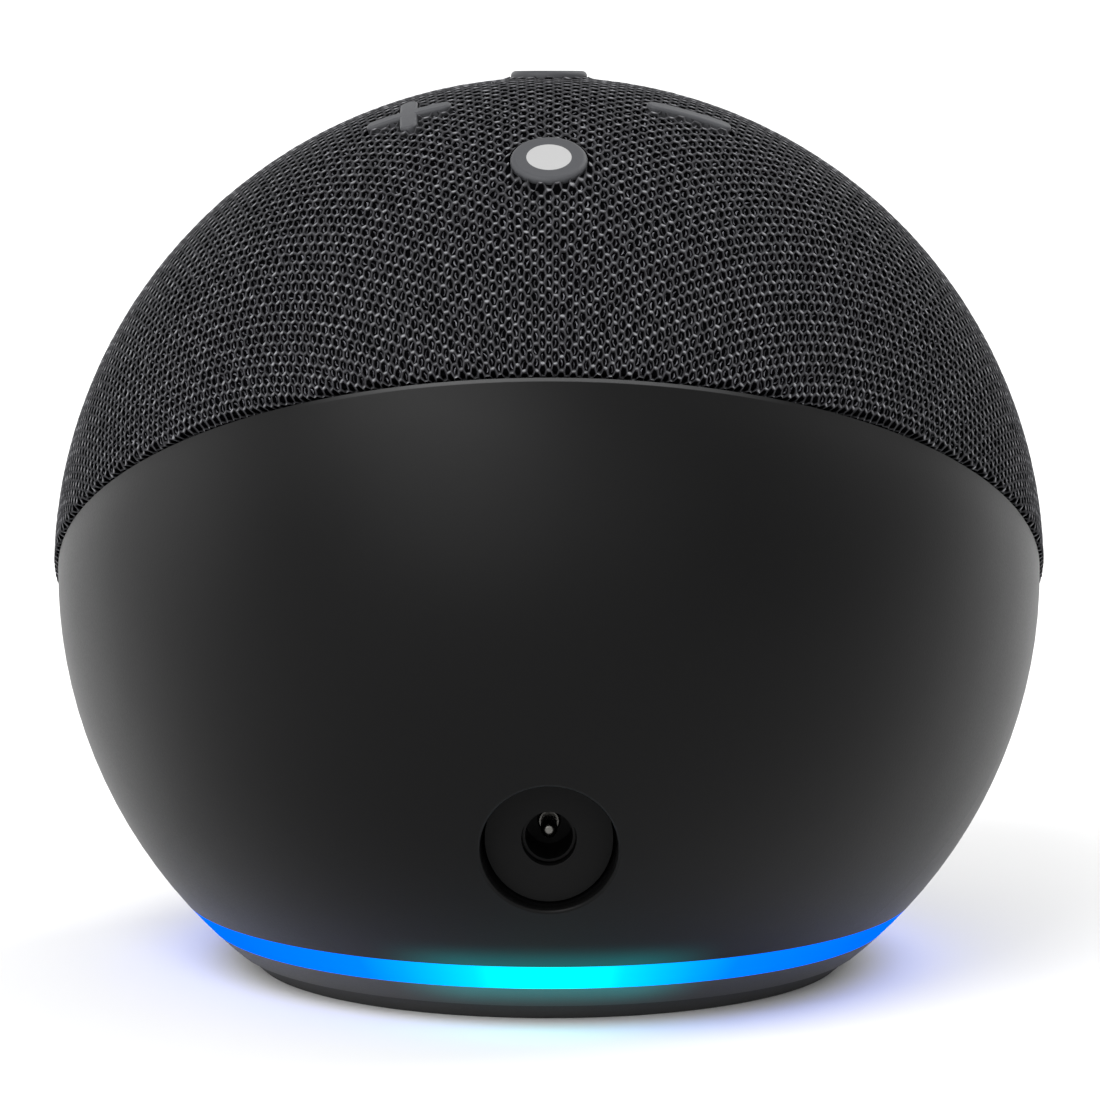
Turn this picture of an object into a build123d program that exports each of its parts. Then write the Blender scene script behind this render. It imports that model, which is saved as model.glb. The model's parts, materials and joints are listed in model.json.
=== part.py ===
"""Ball-shaped smart speaker: fabric dome, moulded shells, light ring, top buttons, driver and boards.

Millimetres. The origin is on the table under the ball's centre, +Z is up, -Y is the back with the
power inlet, and +Y is the front, where the driver fires.
"""

import os
from math import acos, cos, degrees, pi, radians, sin, sqrt, tan

from build123d import *

# Ball, fabric and seam
ball_radius = 49.6
shell_wall = 2.2
fabric_thickness = 0.4
centre_height = 39.8
seam_tilt = 33.0
seam_gap = 0.3
rim_edge_break = 0.4
hem_width = 1.3
hem_clearance = 0.1
lip_thickness = 1.4
lip_clearance = 0.3
lip_depth = 4.0
lip_root_height = 3.0
snap_bead_drop = 2.8
snap_bead_reach = 0.45
snap_bead_half_height = 0.4
snap_groove_clearance = 0.2

# Honeycomb openings in the grille, in front of the driver
grille_cell_pitch = 5.2
grille_web = 1.2
grille_rings = 5
grille_centre_lift = 5.0

# Base stack: foot, base plate, light ring
foot_height = 1.75
foot_band = 9.0
foot_inset = 0.35
foot_draft = 2.0
foot_edge_round = 0.3
base_band_height = 2.3
base_floor = 2.0
label_recess = 0.7
label_margin = 1.0
ring_height = 2.75
ring_depth = 3.6
housing_flange = 1.6
housing_flange_inset = 0.3
skirt_thickness = 1.6
skirt_clearance = 2.0
skirt_band = 9.0

# Fasteners
screw_radius = 1.1
screw_head_radius = 2.1
screw_head_height = 1.2
screw_grip = 6.0
screw_thread_clearance = 0.05
screw_hole_clearance = 0.2
small_screw_radius = 0.8
small_screw_head_radius = 1.5
small_screw_head_height = 0.9
small_screw_grip = 4.0
screw_head_round_share = 0.33
post_radius = 3.0
post_seat_height = 1.6
post_hole_clearance = 0.5
standoff_radius = 2.0

# Power inlet recess and jack
jack_drop = 19.4
recess_radius = 6.8
recess_depth = 5.7
recess_wall = 1.6
recess_floor_wall = 2.0
recess_edge_round = 0.3
recess_groove_width = 0.45
recess_groove_depth = 0.9
jack_hole_radius = 2.75
jack_nose_radius = 2.62
jack_nose_setback = 1.5
jack_bore_radius = 2.37
jack_bore_depth = 8.0
jack_pin_radius = 0.82
jack_pin_setback = 4.0
jack_pin_tip_round = 0.6
jack_collar_radius = 1.15
jack_collar_height = 0.8
jack_collar_round = 0.2
jack_body_side = 9.0
jack_body_gap = 0.3
jack_body_length = 10.0
jack_contact_thickness = 0.25
jack_contact_length = 4.0
jack_contact_clearance = 0.05
jack_contact_lift = 0.6

# Top buttons, placed by angles from the apex
press_tilt = 9.0
action_angle = 25.3
mute_angle = -9.0
volume_angle = 8.0
volume_spread = 16.25
press_travel = 0.4
button_radius = 3.85
button_rise = 0.65
button_edge_round = 0.5
sign_length = 8.8
sign_width = 1.8
sign_rise = 0.5
sign_edge_round = 0.3
sign_flange_radius = 5.6
button_flange_margin = 1.2
button_flange = 1.0
button_flange_gap = 0.15
button_clearance = 0.35
button_stem_radius = 1.4
dot_radius = 2.25
dot_thickness = 0.3

# Button board with its switches and microphones
button_board_drop = 7.4
button_board_radius = 20.0
board_thickness = 1.2
switch_side = 4.0
switch_height = 1.6
plunger_radius = 0.75
plunger_clearance = 0.12
plunger_rise = 0.5
plunger_sink = 0.45
plunger_end_room = 0.1
microphone_side = 3.0
microphone_height = 1.0
microphone_circle = 9.0
microphone_port_radius = 0.6
boot_radius = 2.2
boot_clearance = 0.1
button_boss_circle = 17.3
button_boss_radius = 2.2

# Driver, measured along its axis from the enclosure's front rim
driver_lift = 4.0
driver_front_room = 2.6
flange_radius = 25.5
flange_thickness = 1.6
flange_opening = 20.4
gasket_thickness = 0.6
driver_screw_circle = 23.5
cone_travel = 2.0
cone_edge_radius = 17.4
cone_lip = 1.4
cone_depth = 10.0
cone_thickness = 0.5
surround_thickness = 0.4
surround_lip = 0.8
basket_depth = 13.4
basket_wall = 1.2
basket_seat_radius = 15.0
basket_windows = 4
basket_window_angle = 52.0
spider_ledge = 1.4
spider_ledge_width = 2.2
spider_thickness = 0.3
spider_wave = 0.6
top_plate_thickness = 3.0
top_plate_bore = 7.6
magnet_thickness = 7.0
magnet_overhang = 1.0
magnet_bore = 9.0
magnet_edge_break = 0.6
yoke_thickness = 3.0
pole_radius = 5.9
former_inner_radius = 6.3
former_thickness = 0.2
winding_thickness = 0.6
former_overhang = 0.8
dust_cap_radius = 8.5
dust_cap_rise = 2.4
dust_cap_thickness = 0.35
terminal_width = 8.0
terminal_reach = 5.0

# Speaker enclosure and leads
enclosure_radius = 26.0
enclosure_wall = 2.0
mouth_rim = 3.0
mouth_clearance = 0.8
lead_radius = 0.6
lead_pitch = 3.0
lead_drop = 20.0
lead_first_run = 7.0
lead_second_run = 17.5
lead_bend_share = 0.45
grommet_radius = 3.2
grommet_flange = 0.9
grommet_clearance = 0.1

# Main board and what it carries
main_board_width = 46.0
main_board_below_jack = 6.0
main_board_height = 48.0
main_board_thickness = 1.6
main_board_gap = 3.4
board_screw_offset = 16.0
shield_width = 26.0
shield_height = 20.0
shield_depth = 2.4
shield_wall = 0.4
shield_gap = 3.9
processor_side = 12.0
processor_height = 1.3
memory_width = 9.0
memory_height = 11.0
chip_spacing = 1.5
thermal_pad_side = 14.0
thermal_pad_thickness = 0.8
sink_base = 1.5
sink_fins = 7
sink_fin_depth = 6.0
sink_fin_thickness = 1.0
amplifier_side = 5.0
amplifier_height = 1.0
inductor_side = 6.0
inductor_height = 3.0
inductor_edge_round = 1.2
low_part_offset = 17.0
antenna_length = 12.0
antenna_foot = 3.0
antenna_rise = 4.0
antenna_thickness = 0.3
antenna_margin = 1.0
socket_width = 8.0
socket_depth = 3.0
socket_height = 2.0
button_socket_inset = 3.6
led_socket_inset = 2.1
ribbon_width = 6.0
ribbon_thickness = 0.3
ribbon_bend = 2.0
ribbon_lift = 1.0
ribbon_straight = 1.0
led_ribbon_offset = 9.0
button_ribbon_reach = 14.0

# Light ring board
led_board_clearance = 0.5
led_board_band = 10.0
led_board_lift = 2.2
led_count = 12
led_width = 3.0
led_depth = 1.0
led_height = 1.0
led_edge_setback = 0.3
led_post_radius = 2.2
led_post_circle_inset = 5.0

# Levels and radii worked out from the driving dimensions
fabric_radius = ball_radius + fabric_thickness
shell_inner = ball_radius - shell_wall
base_low = foot_height
base_top = base_low + base_band_height
base_floor_top = base_low + base_floor
ring_top = base_top + ring_height
flange_top = ring_top + housing_flange
skirt_top = flange_top + skirt_thickness
jack_z = centre_height - jack_drop
driver_z = centre_height + driver_lift


def ball_radius_at(radius, height):
    """Horizontal radius of a sphere about the ball's centre, at a height above the table."""
    return sqrt(radius**2 - (height - centre_height) ** 2)


ring_inner = ball_radius_at(ball_radius, base_top) - ring_depth
foot_outer = ball_radius_at(ball_radius, foot_height) - foot_inset
foot_inner = foot_outer - foot_band
screw_circle = foot_inner + (foot_band - foot_draft) / 2
post_low = base_floor_top + post_seat_height
led_board_outer = ring_inner - led_board_clearance
led_board_inner = led_board_outer - led_board_band
led_board_low = base_floor_top + led_board_lift
led_board_top = led_board_low + board_thickness
led_post_circle = led_board_outer - led_post_circle_inset

# The back: recess floor, jack, main board and the enclosure's rear wall, as distances towards -Y
recess_floor = sqrt(ball_radius**2 - jack_drop**2) - recess_depth
jack_front = recess_floor - jack_nose_setback
jack_shoulder = recess_floor - recess_floor_wall - jack_body_gap
board_back = jack_shoulder - jack_body_length
board_front = board_back - main_board_thickness
enclosure_back = board_front - main_board_gap
board_low = jack_z - main_board_below_jack
board_top = board_low + main_board_height
button_socket_z = board_top - button_socket_inset
shield_z = button_socket_z - socket_depth / 2 - shield_gap - shield_height / 2
led_socket_z = board_low + led_socket_inset
led_socket_edge = board_back + ribbon_lift - ribbon_bend - ribbon_straight
led_socket_middle = led_socket_edge - socket_depth / 2

# The front: the driver's flange corner stands clear of the grille's inside
flange_front = sqrt((shell_inner - driver_front_room) ** 2 - (flange_radius + driver_lift) ** 2)
flange_back = flange_front - flange_thickness
enclosure_front = flange_back - gasket_thickness
basket_low = flange_back - basket_depth
top_plate_low = basket_low - top_plate_thickness
magnet_low = top_plate_low - magnet_thickness
yoke_low = magnet_low - yoke_thickness
former_outer = former_inner_radius + former_thickness
winding_outer = former_outer + winding_thickness
winding_length = top_plate_thickness + 2 * cone_travel
magnet_radius = basket_seat_radius + magnet_overhang
winding_mid = basket_low - top_plate_thickness / 2
former_low = winding_mid - winding_length / 2 - former_overhang
cone_neck = flange_front - cone_depth
spider_level = basket_low + basket_wall + spider_ledge

# The button board's frame: w runs along the press axis from the ball's centre, v towards the front
press_plane = Plane(
    origin=(0, 0, centre_height),
    x_dir=(1, 0, 0),
    z_dir=(0, -sin(radians(press_tilt)), cos(radians(press_tilt))),
)
button_board_level = shell_inner - button_board_drop
button_board_low = button_board_level - board_thickness
switch_top = button_board_level + switch_height
stem_end = switch_top + plunger_rise

seam_place = Pos(0, 0, centre_height) * Rot(-seam_tilt, 0, 0)
jack_plane = Plane(origin=(0, 0, jack_z), x_dir=(1, 0, 0), z_dir=(0, -1, 0))
driver_plane = Plane(origin=(0, 0, driver_z), x_dir=(-1, 0, 0), z_dir=(0, 1, 0))
quarter_turns = range(45, 360, 90)


def tube(inner, outer, low, high):
    """Ring between two radii and two levels on the Z axis."""
    return Pos(0, 0, low) * extrude(Circle(outer) - Circle(inner), high - low)


def rod(radius, low, high, u=0.0, v=0.0):
    """Round bar along Z between two levels, at (u, v)."""
    return Pos(u, v, low) * extrude(Circle(radius), high - low)


def block(width, depth, low, high, u=0.0, v=0.0):
    """Rectangular block between two levels, centred at (u, v)."""
    return Pos(u, v, low) * extrude(Rectangle(width, depth), high - low)


def turned(*points):
    """Solid of revolution about Z of a closed outline of (radius, level) points."""
    return revolve(Plane.XZ * make_face(Polyline(*points, close=True)), Axis.Z)


def dome(radius, base):
    """Solid cap of a sphere about the origin, above the level base."""
    edge = sqrt(radius**2 - base**2)
    mid = acos(base / radius) / 2
    outline = Polyline((0, radius), (0, base), (edge, base)) + ThreePointArc(
        (edge, base), (radius * sin(mid), radius * cos(mid)), (0, radius)
    )
    return revolve(Plane.XZ * make_face(outline), Axis.Z)


def ball(radius):
    """Solid sphere about the ball's centre."""
    return Pos(0, 0, centre_height) * Sphere(radius)


def around(count_angles, circle, item):
    """Copies of an item at the given angles on a circle about Z."""
    return [Rot(0, 0, angle) * Pos(circle, 0, 0) * item for angle in count_angles]


def together(items):
    """One part of separate solids."""
    return Compound([solid for item in items for solid in item.solids()])


def surface_plane(angle, spread=0.0):
    """Plane through the ball's centre whose normal leaves it at a top button.

    The angle leans towards the back from the apex, and the spread towards +X; local y runs
    towards the front.
    """
    lean, side = radians(angle), radians(spread)
    normal = (sin(side), -sin(lean) * cos(side), cos(lean) * cos(side))
    across = (cos(side), sin(lean) * sin(side), -cos(lean) * sin(side))
    return Plane(origin=(0, 0, centre_height), x_dir=across, z_dir=normal)


def screw(radius, head_radius, head_height, grip):
    """Pan-head screw standing on its head's seat at Z 0, with the shank below it."""
    head = rod(head_radius, 0, head_height)
    head = fillet(head.edges().group_by(Axis.Z)[-1], screw_head_round_share * head_height)
    return head + rod(radius, -grip, 0)


def case_screw():
    """Screw of the base and the driver."""
    return screw(screw_radius, screw_head_radius, screw_head_height, screw_grip)


def board_screw():
    """Small screw that holds a circuit board."""
    return screw(
        small_screw_radius, small_screw_head_radius, small_screw_head_height, small_screw_grip
    )


# Top buttons
def disc_outline(grow=0.0):
    """Outline of a round button."""
    return Circle(button_radius + grow)


def minus_outline(grow=0.0):
    """Outline of the volume-down bar, with round ends."""
    return SlotOverall(sign_length + 2 * grow, sign_width + 2 * grow)


def plus_outline(grow=0.0):
    """Outline of the volume-up cross, two bars at right angles."""
    return minus_outline(grow) + Rot(0, 0, 90) * minus_outline(grow)


BUTTONS = {
    "volume_up": (surface_plane(volume_angle, -volume_spread), plus_outline),
    "volume_down": (surface_plane(volume_angle, volume_spread), minus_outline),
    "action": (surface_plane(action_angle), disc_outline),
    "mic_mute": (surface_plane(mute_angle), disc_outline),
}


def press_point(plane):
    """Where a button's stem meets the button board's frame, as (u, v)."""
    foot = press_plane.to_local_coords(plane.origin + plane.z_dir * shell_inner)
    return foot.X, foot.Y


def button_hole(plane, outline, clearance):
    """Cutter through the dome for one button."""
    return plane * Pos(0, 0, shell_inner / 2) * extrude(outline(clearance), ball_radius)


def button_cap(plane, outline):
    """Cap of one button: head through the dome, flange under it and stem to its switch."""
    round_cap = outline is disc_outline
    flange_edge = button_radius + button_flange_margin if round_cap else sign_flange_radius
    flange_high = sqrt(shell_inner**2 - flange_edge**2) - button_flange_gap
    if round_cap:
        head = Pos(0, 0, flange_high) * extrude(outline(), fabric_radius + button_rise - flange_high)
        head = fillet(head.edges().group_by(Axis.Z)[-1], button_edge_round)
    else:
        head = Pos(0, 0, flange_high) * extrude(outline(), ball_radius / 4)
        head = head & Sphere(fabric_radius + sign_rise)
        crown = head.faces().filter_by(GeomType.SPHERE).edges()
        head = fillet(crown, sign_edge_round)
    flange = rod(flange_edge, flange_high - button_flange, flange_high)
    cap = plane * (head + flange)
    u, v = press_point(plane)
    stem = press_plane * rod(button_stem_radius, stem_end, shell_inner, u, v)
    keep = plane * rod(flange_edge, 0, flange_high - button_flange / 2)
    return cap + (stem & keep)


def action_dot_seat():
    """Disc of the pale dot let into the action button's top."""
    top = fabric_radius + button_rise
    return surface_plane(action_angle) * rod(dot_radius, top - dot_thickness, top)


def switch_plunger(plane):
    """Plunger of one tact switch, under the button's stem."""
    u, v = press_point(plane)
    return press_plane * rod(plunger_radius, switch_top - plunger_sink, stem_end, u, v)


def tact_switches():
    """Switch bodies on the button board, bored for their plungers."""
    bodies = []
    for plane, _ in BUTTONS.values():
        u, v = press_point(plane)
        body = block(switch_side, switch_side, button_board_level, switch_top, u, v)
        bore = rod(
            plunger_radius + plunger_clearance,
            switch_top - plunger_sink - press_travel - plunger_end_room,
            switch_top + plunger_rise,
            u,
            v,
        )
        bodies.append(press_plane * (body - bore))
    return together(bodies)


# Dome
def fabric_cover():
    """Knit cover over the dome, with its hem folded under the grille's rim."""
    fold_top = seam_gap + fabric_thickness
    hem_inner = ball_radius - hem_width
    sleeve = dome(fabric_radius, seam_gap) - dome(ball_radius, fold_top)
    cover = seam_place * (sleeve - rod(hem_inner, 0, fold_top + fabric_thickness))
    for plane, outline in BUTTONS.values():
        cover -= button_hole(plane, outline, button_clearance)
    return cover


def grille_cells():
    """Hexagonal prisms on rings about the driver's axis, seen from the ball's centre."""
    step = grille_cell_pitch / ball_radius
    flat_radius = (grille_cell_pitch - grille_web) / 2
    aim = Pos(0, 0, centre_height) * Rot(grille_centre_lift, 0, 0) * Rot(-90, 0, 0)
    prism = Pos(0, 0, shell_inner - shell_wall) * extrude(
        RegularPolygon(flat_radius, 6, major_radius=False), 3 * shell_wall
    )
    cells = [aim * prism]
    for ring in range(1, grille_rings + 1):
        lean = degrees(ring * step)
        for place in range(6 * ring):
            cells.append(aim * Rot(0, 0, place * 60 / ring) * Rot(0, lean, 0) * prism)
    return cells


def grille_shell():
    """Perforated dome with a seat on the housing, an inner lip with a snap bead, and board bosses."""
    fold_top = seam_gap + fabric_thickness
    seat_outer = ball_radius - hem_width - hem_clearance
    lip_outer = shell_inner - lip_clearance
    lip_inner = lip_outer - lip_thickness
    shell = dome(ball_radius, fold_top) - dome(shell_inner, 0)
    shell += tube(lip_inner, seat_outer, 0, fold_top + seam_gap)
    shell += tube(lip_inner, shell_inner + seam_gap, 0, lip_root_height)
    shell += tube(lip_inner, lip_outer, -lip_depth, seam_gap)
    shell += turned(
        (lip_outer - lip_thickness / 2, -snap_bead_drop - snap_bead_half_height),
        (lip_outer, -snap_bead_drop - snap_bead_half_height),
        (lip_outer + snap_bead_reach, -snap_bead_drop),
        (lip_outer, -snap_bead_drop + snap_bead_half_height),
        (lip_outer - lip_thickness / 2, -snap_bead_drop + snap_bead_half_height),
    )
    shell = seam_place * shell
    boss_top = sqrt((shell_inner + shell_wall / 2) ** 2 - button_boss_circle**2)
    boss = rod(button_boss_radius, button_board_level, boss_top)
    boss -= rod(
        small_screw_radius + screw_thread_clearance,
        button_board_level,
        button_board_level + small_screw_grip - board_thickness + screw_thread_clearance,
    )
    for item in around(quarter_turns, button_boss_circle, boss):
        shell += press_plane * item
    port = rod(microphone_port_radius, button_board_level, ball_radius)
    for item in around(quarter_turns, microphone_circle, port):
        shell -= press_plane * item
    for plane, outline in BUTTONS.values():
        shell -= button_hole(plane, outline, button_clearance)
    return shell - grille_cells()


# Lower housing and base
def rear_housing():
    """Lower shell from the tilted seam to the light ring, with the power inlet's recess."""
    bowl = Rot(180, 0, 0) * (dome(ball_radius, 0) - dome(shell_inner, 0))
    rim_cut = turned(
        (ball_radius - rim_edge_break, 0),
        (ball_radius + rim_edge_break, 0),
        (ball_radius + rim_edge_break, -2 * rim_edge_break),
    )
    groove_reach = shell_inner - lip_clearance + snap_bead_reach + snap_groove_clearance
    groove_half = snap_bead_half_height + snap_groove_clearance
    groove = tube(
        shell_inner - lip_clearance, groove_reach, -snap_bead_drop - groove_half, groove_half - snap_bead_drop
    )
    shell = seam_place * (bowl - rim_cut - groove)
    shell -= block(4 * ball_radius, 4 * ball_radius, -ball_radius, ring_top)
    flange_inner = ring_inner + housing_flange_inset
    shell += tube(flange_inner, ball_radius, ring_top, flange_top) & ball(ball_radius - shell_wall / 2)
    cup_low = recess_floor - recess_floor_wall
    cup = jack_plane * rod(recess_radius + recess_wall, cup_low, 2 * ball_radius)
    shell += cup & ball(ball_radius - shell_wall / 2)
    shell -= jack_plane * rod(recess_radius, recess_floor, 2 * ball_radius)
    groove_inner = recess_radius - recess_groove_width
    shell -= jack_plane * turned(
        (groove_inner, recess_floor),
        (recess_radius, recess_floor),
        (groove_inner, recess_floor - recess_groove_depth),
    )
    shell -= jack_plane * rod(jack_hole_radius, 0, recess_floor + recess_depth)
    mouth = [
        edge
        for edge in shell.edges()
        if abs(edge.length - 2 * pi * recess_radius) < recess_radius
        and (edge.center() - Vector(0, 0, centre_height)).length > shell_inner - shell_wall
    ]
    return fillet(mouth, recess_edge_round)


def light_ring():
    """Translucent diffuser clamped between the housing and the base plate."""
    return tube(ring_inner, ball_radius, base_top, ring_top) & ball(ball_radius)


def base_plate():
    """Bottom cover with its outer band, screw seats and posts for the light ring's board."""
    plate = rod(ball_radius, base_low, base_floor_top)
    plate += tube(ring_inner, ball_radius, base_low, base_top)
    plate = plate & ball(ball_radius)
    plate += rod(foot_inner - label_margin, base_low - label_recess, base_floor_top)
    seat = rod(post_radius + post_hole_clearance, base_floor_top, post_low)
    hole = rod(screw_radius + screw_hole_clearance, 0, post_low)
    sink = rod(screw_head_radius + screw_hole_clearance, 0, base_low + screw_head_height)
    post = rod(led_post_radius, base_floor_top, led_board_low)
    thread = rod(
        small_screw_radius + screw_thread_clearance,
        led_board_top - small_screw_grip - screw_thread_clearance,
        led_board_low,
    )
    for item in around(quarter_turns, screw_circle, seat):
        plate += item
    for item in around(range(0, 360, 90), led_post_circle, post):
        plate += item
    plate -= around(range(0, 360, 90), led_post_circle, thread)
    return plate - around(quarter_turns, screw_circle, hole + sink)


def rubber_foot():
    """Soft ring under the base plate, over its screws."""
    ring = turned(
        (foot_inner, foot_height),
        (foot_inner, 0),
        (foot_outer - foot_draft, 0),
        (foot_outer, foot_height),
    )
    return fillet(ring.edges().group_by(Axis.Z)[0], foot_edge_round)


def base_screws():
    """Screws from under the foot up into the enclosure's legs."""
    item = Pos(0, 0, base_low + screw_head_height) * Rot(180, 0, 0) * case_screw()
    return together(around(quarter_turns, screw_circle, item))


# Speaker enclosure and driver, along the driver's axis
def speaker_enclosure():
    """Sealed cup behind the driver, on a skirt and legs that tie the shells together."""
    cup = rod(enclosure_radius, -enclosure_back, enclosure_front)
    cavity = rod(
        enclosure_radius - enclosure_wall, enclosure_wall - enclosure_back, enclosure_front - mouth_rim
    )
    mouth = rod(basket_mouth(), 0, enclosure_front)
    thread = rod(
        screw_radius + screw_thread_clearance, enclosure_front - screw_grip, enclosure_front
    )
    standoff = rod(standoff_radius, -board_front, -enclosure_back)
    pilot = rod(
        small_screw_radius + screw_thread_clearance,
        -board_front,
        main_board_thickness - board_front + small_screw_grip,
    )
    boss = rod(standoff_radius, enclosure_front - screw_grip - enclosure_wall, enclosure_front)
    legs_top = driver_z - sqrt(
        (enclosure_radius - enclosure_wall / 2) ** 2 - (screw_circle * cos(radians(45))) ** 2
    )
    leg = rod(post_radius, post_low, legs_top)
    skirt = tube(
        screw_circle - skirt_band / 2,
        ball_radius_at(shell_inner, flange_top) - skirt_clearance,
        flange_top,
        skirt_top,
    )
    gate = block(
        ribbon_width + 2 * skirt_clearance,
        ball_radius,
        flange_top,
        skirt_top,
        -led_ribbon_offset,
        -ball_radius / 2 - led_board_inner,
    )
    leg_hole = rod(
        screw_radius + screw_thread_clearance, 0, base_low + screw_head_height + screw_grip + skirt_clearance
    )
    shell = driver_plane * cup + (skirt - gate) + around(quarter_turns, screw_circle, leg)
    shell -= driver_plane * (cavity + mouth)
    shell += [driver_plane * item for item in around(quarter_turns, driver_screw_circle, boss)]
    shell += [
        driver_plane * item for item in around(quarter_turns, board_screw_circle(), standoff)
    ]
    shell -= [driver_plane * item for item in around(quarter_turns, driver_screw_circle, thread)]
    shell -= [driver_plane * item for item in around(quarter_turns, board_screw_circle(), pilot)]
    shell -= around(quarter_turns, screw_circle, leg_hole)
    grommet_hole = rod(grommet_radius, -enclosure_back, enclosure_wall - enclosure_back, 0, -lead_drop)
    return shell - driver_plane * grommet_hole


def basket_mouth():
    """Radius of the enclosure's front opening, clear of the basket."""
    return flange_opening + mouth_clearance + basket_wall / 2


def board_screw_circle():
    """Circle through the main board's four screws, about the driver's axis."""
    return board_screw_offset * sqrt(2)


def driver_gasket():
    """Foam ring between the driver's flange and the enclosure."""
    ring = tube(basket_mouth(), flange_radius, enclosure_front, flange_back)
    hole = rod(screw_radius + screw_hole_clearance, enclosure_front, flange_back)
    return driver_plane * (ring - around(quarter_turns, driver_screw_circle, hole))


def driver_basket():
    """Pressed frame: flange, sloping wall with windows and a ledge for the spider."""
    floor_top = basket_low + basket_wall
    frame = turned(
        (winding_outer + basket_wall, basket_low),
        (basket_seat_radius, basket_low),
        (basket_seat_radius + basket_wall, floor_top),
        (flange_opening + basket_wall / 2, flange_back),
        (flange_radius, flange_back),
        (flange_radius, flange_front),
        (flange_opening, flange_front),
        (flange_opening, flange_back),
        (basket_seat_radius, spider_level),
        (basket_seat_radius - spider_ledge_width, spider_level),
        (basket_seat_radius - spider_ledge_width, floor_top),
        (winding_outer + basket_wall, floor_top),
    )
    window = Pos(0, 0, spider_level + basket_wall) * extrude(
        make_face(
            Polyline(
                (0, 0),
                (2 * flange_radius, -2 * flange_radius * tan(radians(basket_window_angle / 2))),
                (2 * flange_radius, 2 * flange_radius * tan(radians(basket_window_angle / 2))),
                close=True,
            )
        ),
        flange_back - spider_level - 2 * basket_wall,
    )
    for index in range(basket_windows):
        frame -= Rot(0, 0, index * 360 / basket_windows) * window
    hole = rod(screw_radius + screw_hole_clearance, flange_back, flange_front)
    return driver_plane * (frame - around(quarter_turns, driver_screw_circle, hole))


def driver_top_plate():
    """Steel ring in front of the magnet."""
    return driver_plane * tube(top_plate_bore, basket_seat_radius, top_plate_low, basket_low)


def driver_magnet():
    """Ferrite ring magnet with broken edges."""
    ring = tube(magnet_bore, magnet_radius, magnet_low, top_plate_low)
    return driver_plane * chamfer(ring.edges(), magnet_edge_break)


def driver_yoke():
    """Back plate with its pole piece."""
    plate = rod(basket_seat_radius, yoke_low, magnet_low)
    return driver_plane * (plate + rod(pole_radius, magnet_low, basket_low))


def voice_coil():
    """Winding on its former, in the magnet's gap."""
    former = tube(former_inner_radius, former_outer, former_low, cone_neck + cone_lip)
    low = winding_mid - winding_length / 2
    return driver_plane * (former + tube(former_outer, winding_outer, low, low + winding_length))


def driver_spider():
    """Corrugated disc that centres the coil."""
    inner = former_outer
    outer = basket_seat_radius - spider_thickness
    ledge = basket_seat_radius - spider_ledge_width
    step = (ledge - inner) / 6
    crests = [(inner + index * step, spider_wave * (index % 2)) for index in range(1, 6)]
    lower = [(inner, 0), *crests, (ledge, 0), (outer, 0)]
    upper = [(radius, rise + spider_thickness) for radius, rise in reversed(lower)]
    return driver_plane * turned(*[(radius, spider_level + rise) for radius, rise in lower + upper])


def driver_cone():
    """Paper cone with a flat lip for the surround."""
    lip_inner = cone_edge_radius - cone_lip
    slope_top = flange_front - cone_thickness
    return driver_plane * turned(
        (former_outer, cone_neck),
        (former_outer, cone_neck + cone_lip),
        (lip_inner - cone_thickness, flange_front),
        (cone_edge_radius, flange_front),
        (cone_edge_radius, slope_top),
        (lip_inner, slope_top),
        (former_outer + cone_thickness, cone_neck),
    )


def driver_surround():
    """Half-roll of rubber between the cone's lip and the basket's flange."""
    inner = cone_edge_radius - cone_lip / 2
    outer = flange_opening + surround_lip
    middle = (cone_edge_radius + flange_opening) / 2
    roll = (flange_opening - cone_edge_radius) / 2
    low, high = flange_front, flange_front + surround_thickness
    outline = (
        Polyline((cone_edge_radius, low), (inner, low), (inner, high), (cone_edge_radius, high))
        + ThreePointArc((cone_edge_radius, high), (middle, high + roll), (flange_opening, high))
        + Polyline((flange_opening, high), (outer, high), (outer, low), (flange_opening, low))
        + ThreePointArc(
            (flange_opening, low),
            (middle, low + roll),
            (cone_edge_radius, low),
        )
    )
    return driver_plane * revolve(Plane.XZ * make_face(outline), Axis.Z)


def dust_cap():
    """Shallow dome over the coil."""
    slope = (cone_edge_radius - cone_lip - cone_thickness - former_outer) / (cone_depth - cone_lip)
    low = cone_neck + cone_lip + (dust_cap_radius - former_outer) / slope
    high = low + dust_cap_rise
    sphere_radius = (dust_cap_radius**2 + dust_cap_rise**2) / (2 * dust_cap_rise)
    lift = high - sphere_radius
    skin = Pos(0, 0, lift) * (Sphere(sphere_radius) - Sphere(sphere_radius - dust_cap_thickness))
    return driver_plane * (skin & rod(dust_cap_radius, low, high + dust_cap_rise))


def driver_screws():
    """Screws through the driver's flange."""
    item = Pos(0, 0, flange_front) * case_screw()
    return together(driver_plane * part for part in around(quarter_turns, driver_screw_circle, item))


def driver_terminal():
    """Solder tag board on the basket's foot, for the leads."""
    tag = block(
        terminal_width,
        2 * terminal_reach,
        basket_low,
        basket_low + basket_wall,
        0,
        -basket_seat_radius,
    )
    foot = turned(
        (0, basket_low - basket_wall),
        (basket_seat_radius - basket_wall, basket_low - basket_wall),
        (basket_seat_radius + basket_wall, basket_low + basket_wall),
        (0, basket_low + basket_wall),
    )
    return driver_plane * (tag - foot)


def lead_route(side):
    """One lead's line from the driver's tag to the main board, in the driver's frame."""
    start = basket_seat_radius + terminal_reach / 2
    u = side * lead_pitch / 2
    return [
        (u, -start, basket_low),
        (u, -start, basket_low - lead_first_run),
        (u, -lead_drop, basket_low - lead_second_run),
        (u, -lead_drop, -lead_end()),
    ]


def lead_end():
    """Distance of the lead connector's face towards the back."""
    return board_front - socket_height + ribbon_thickness


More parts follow.
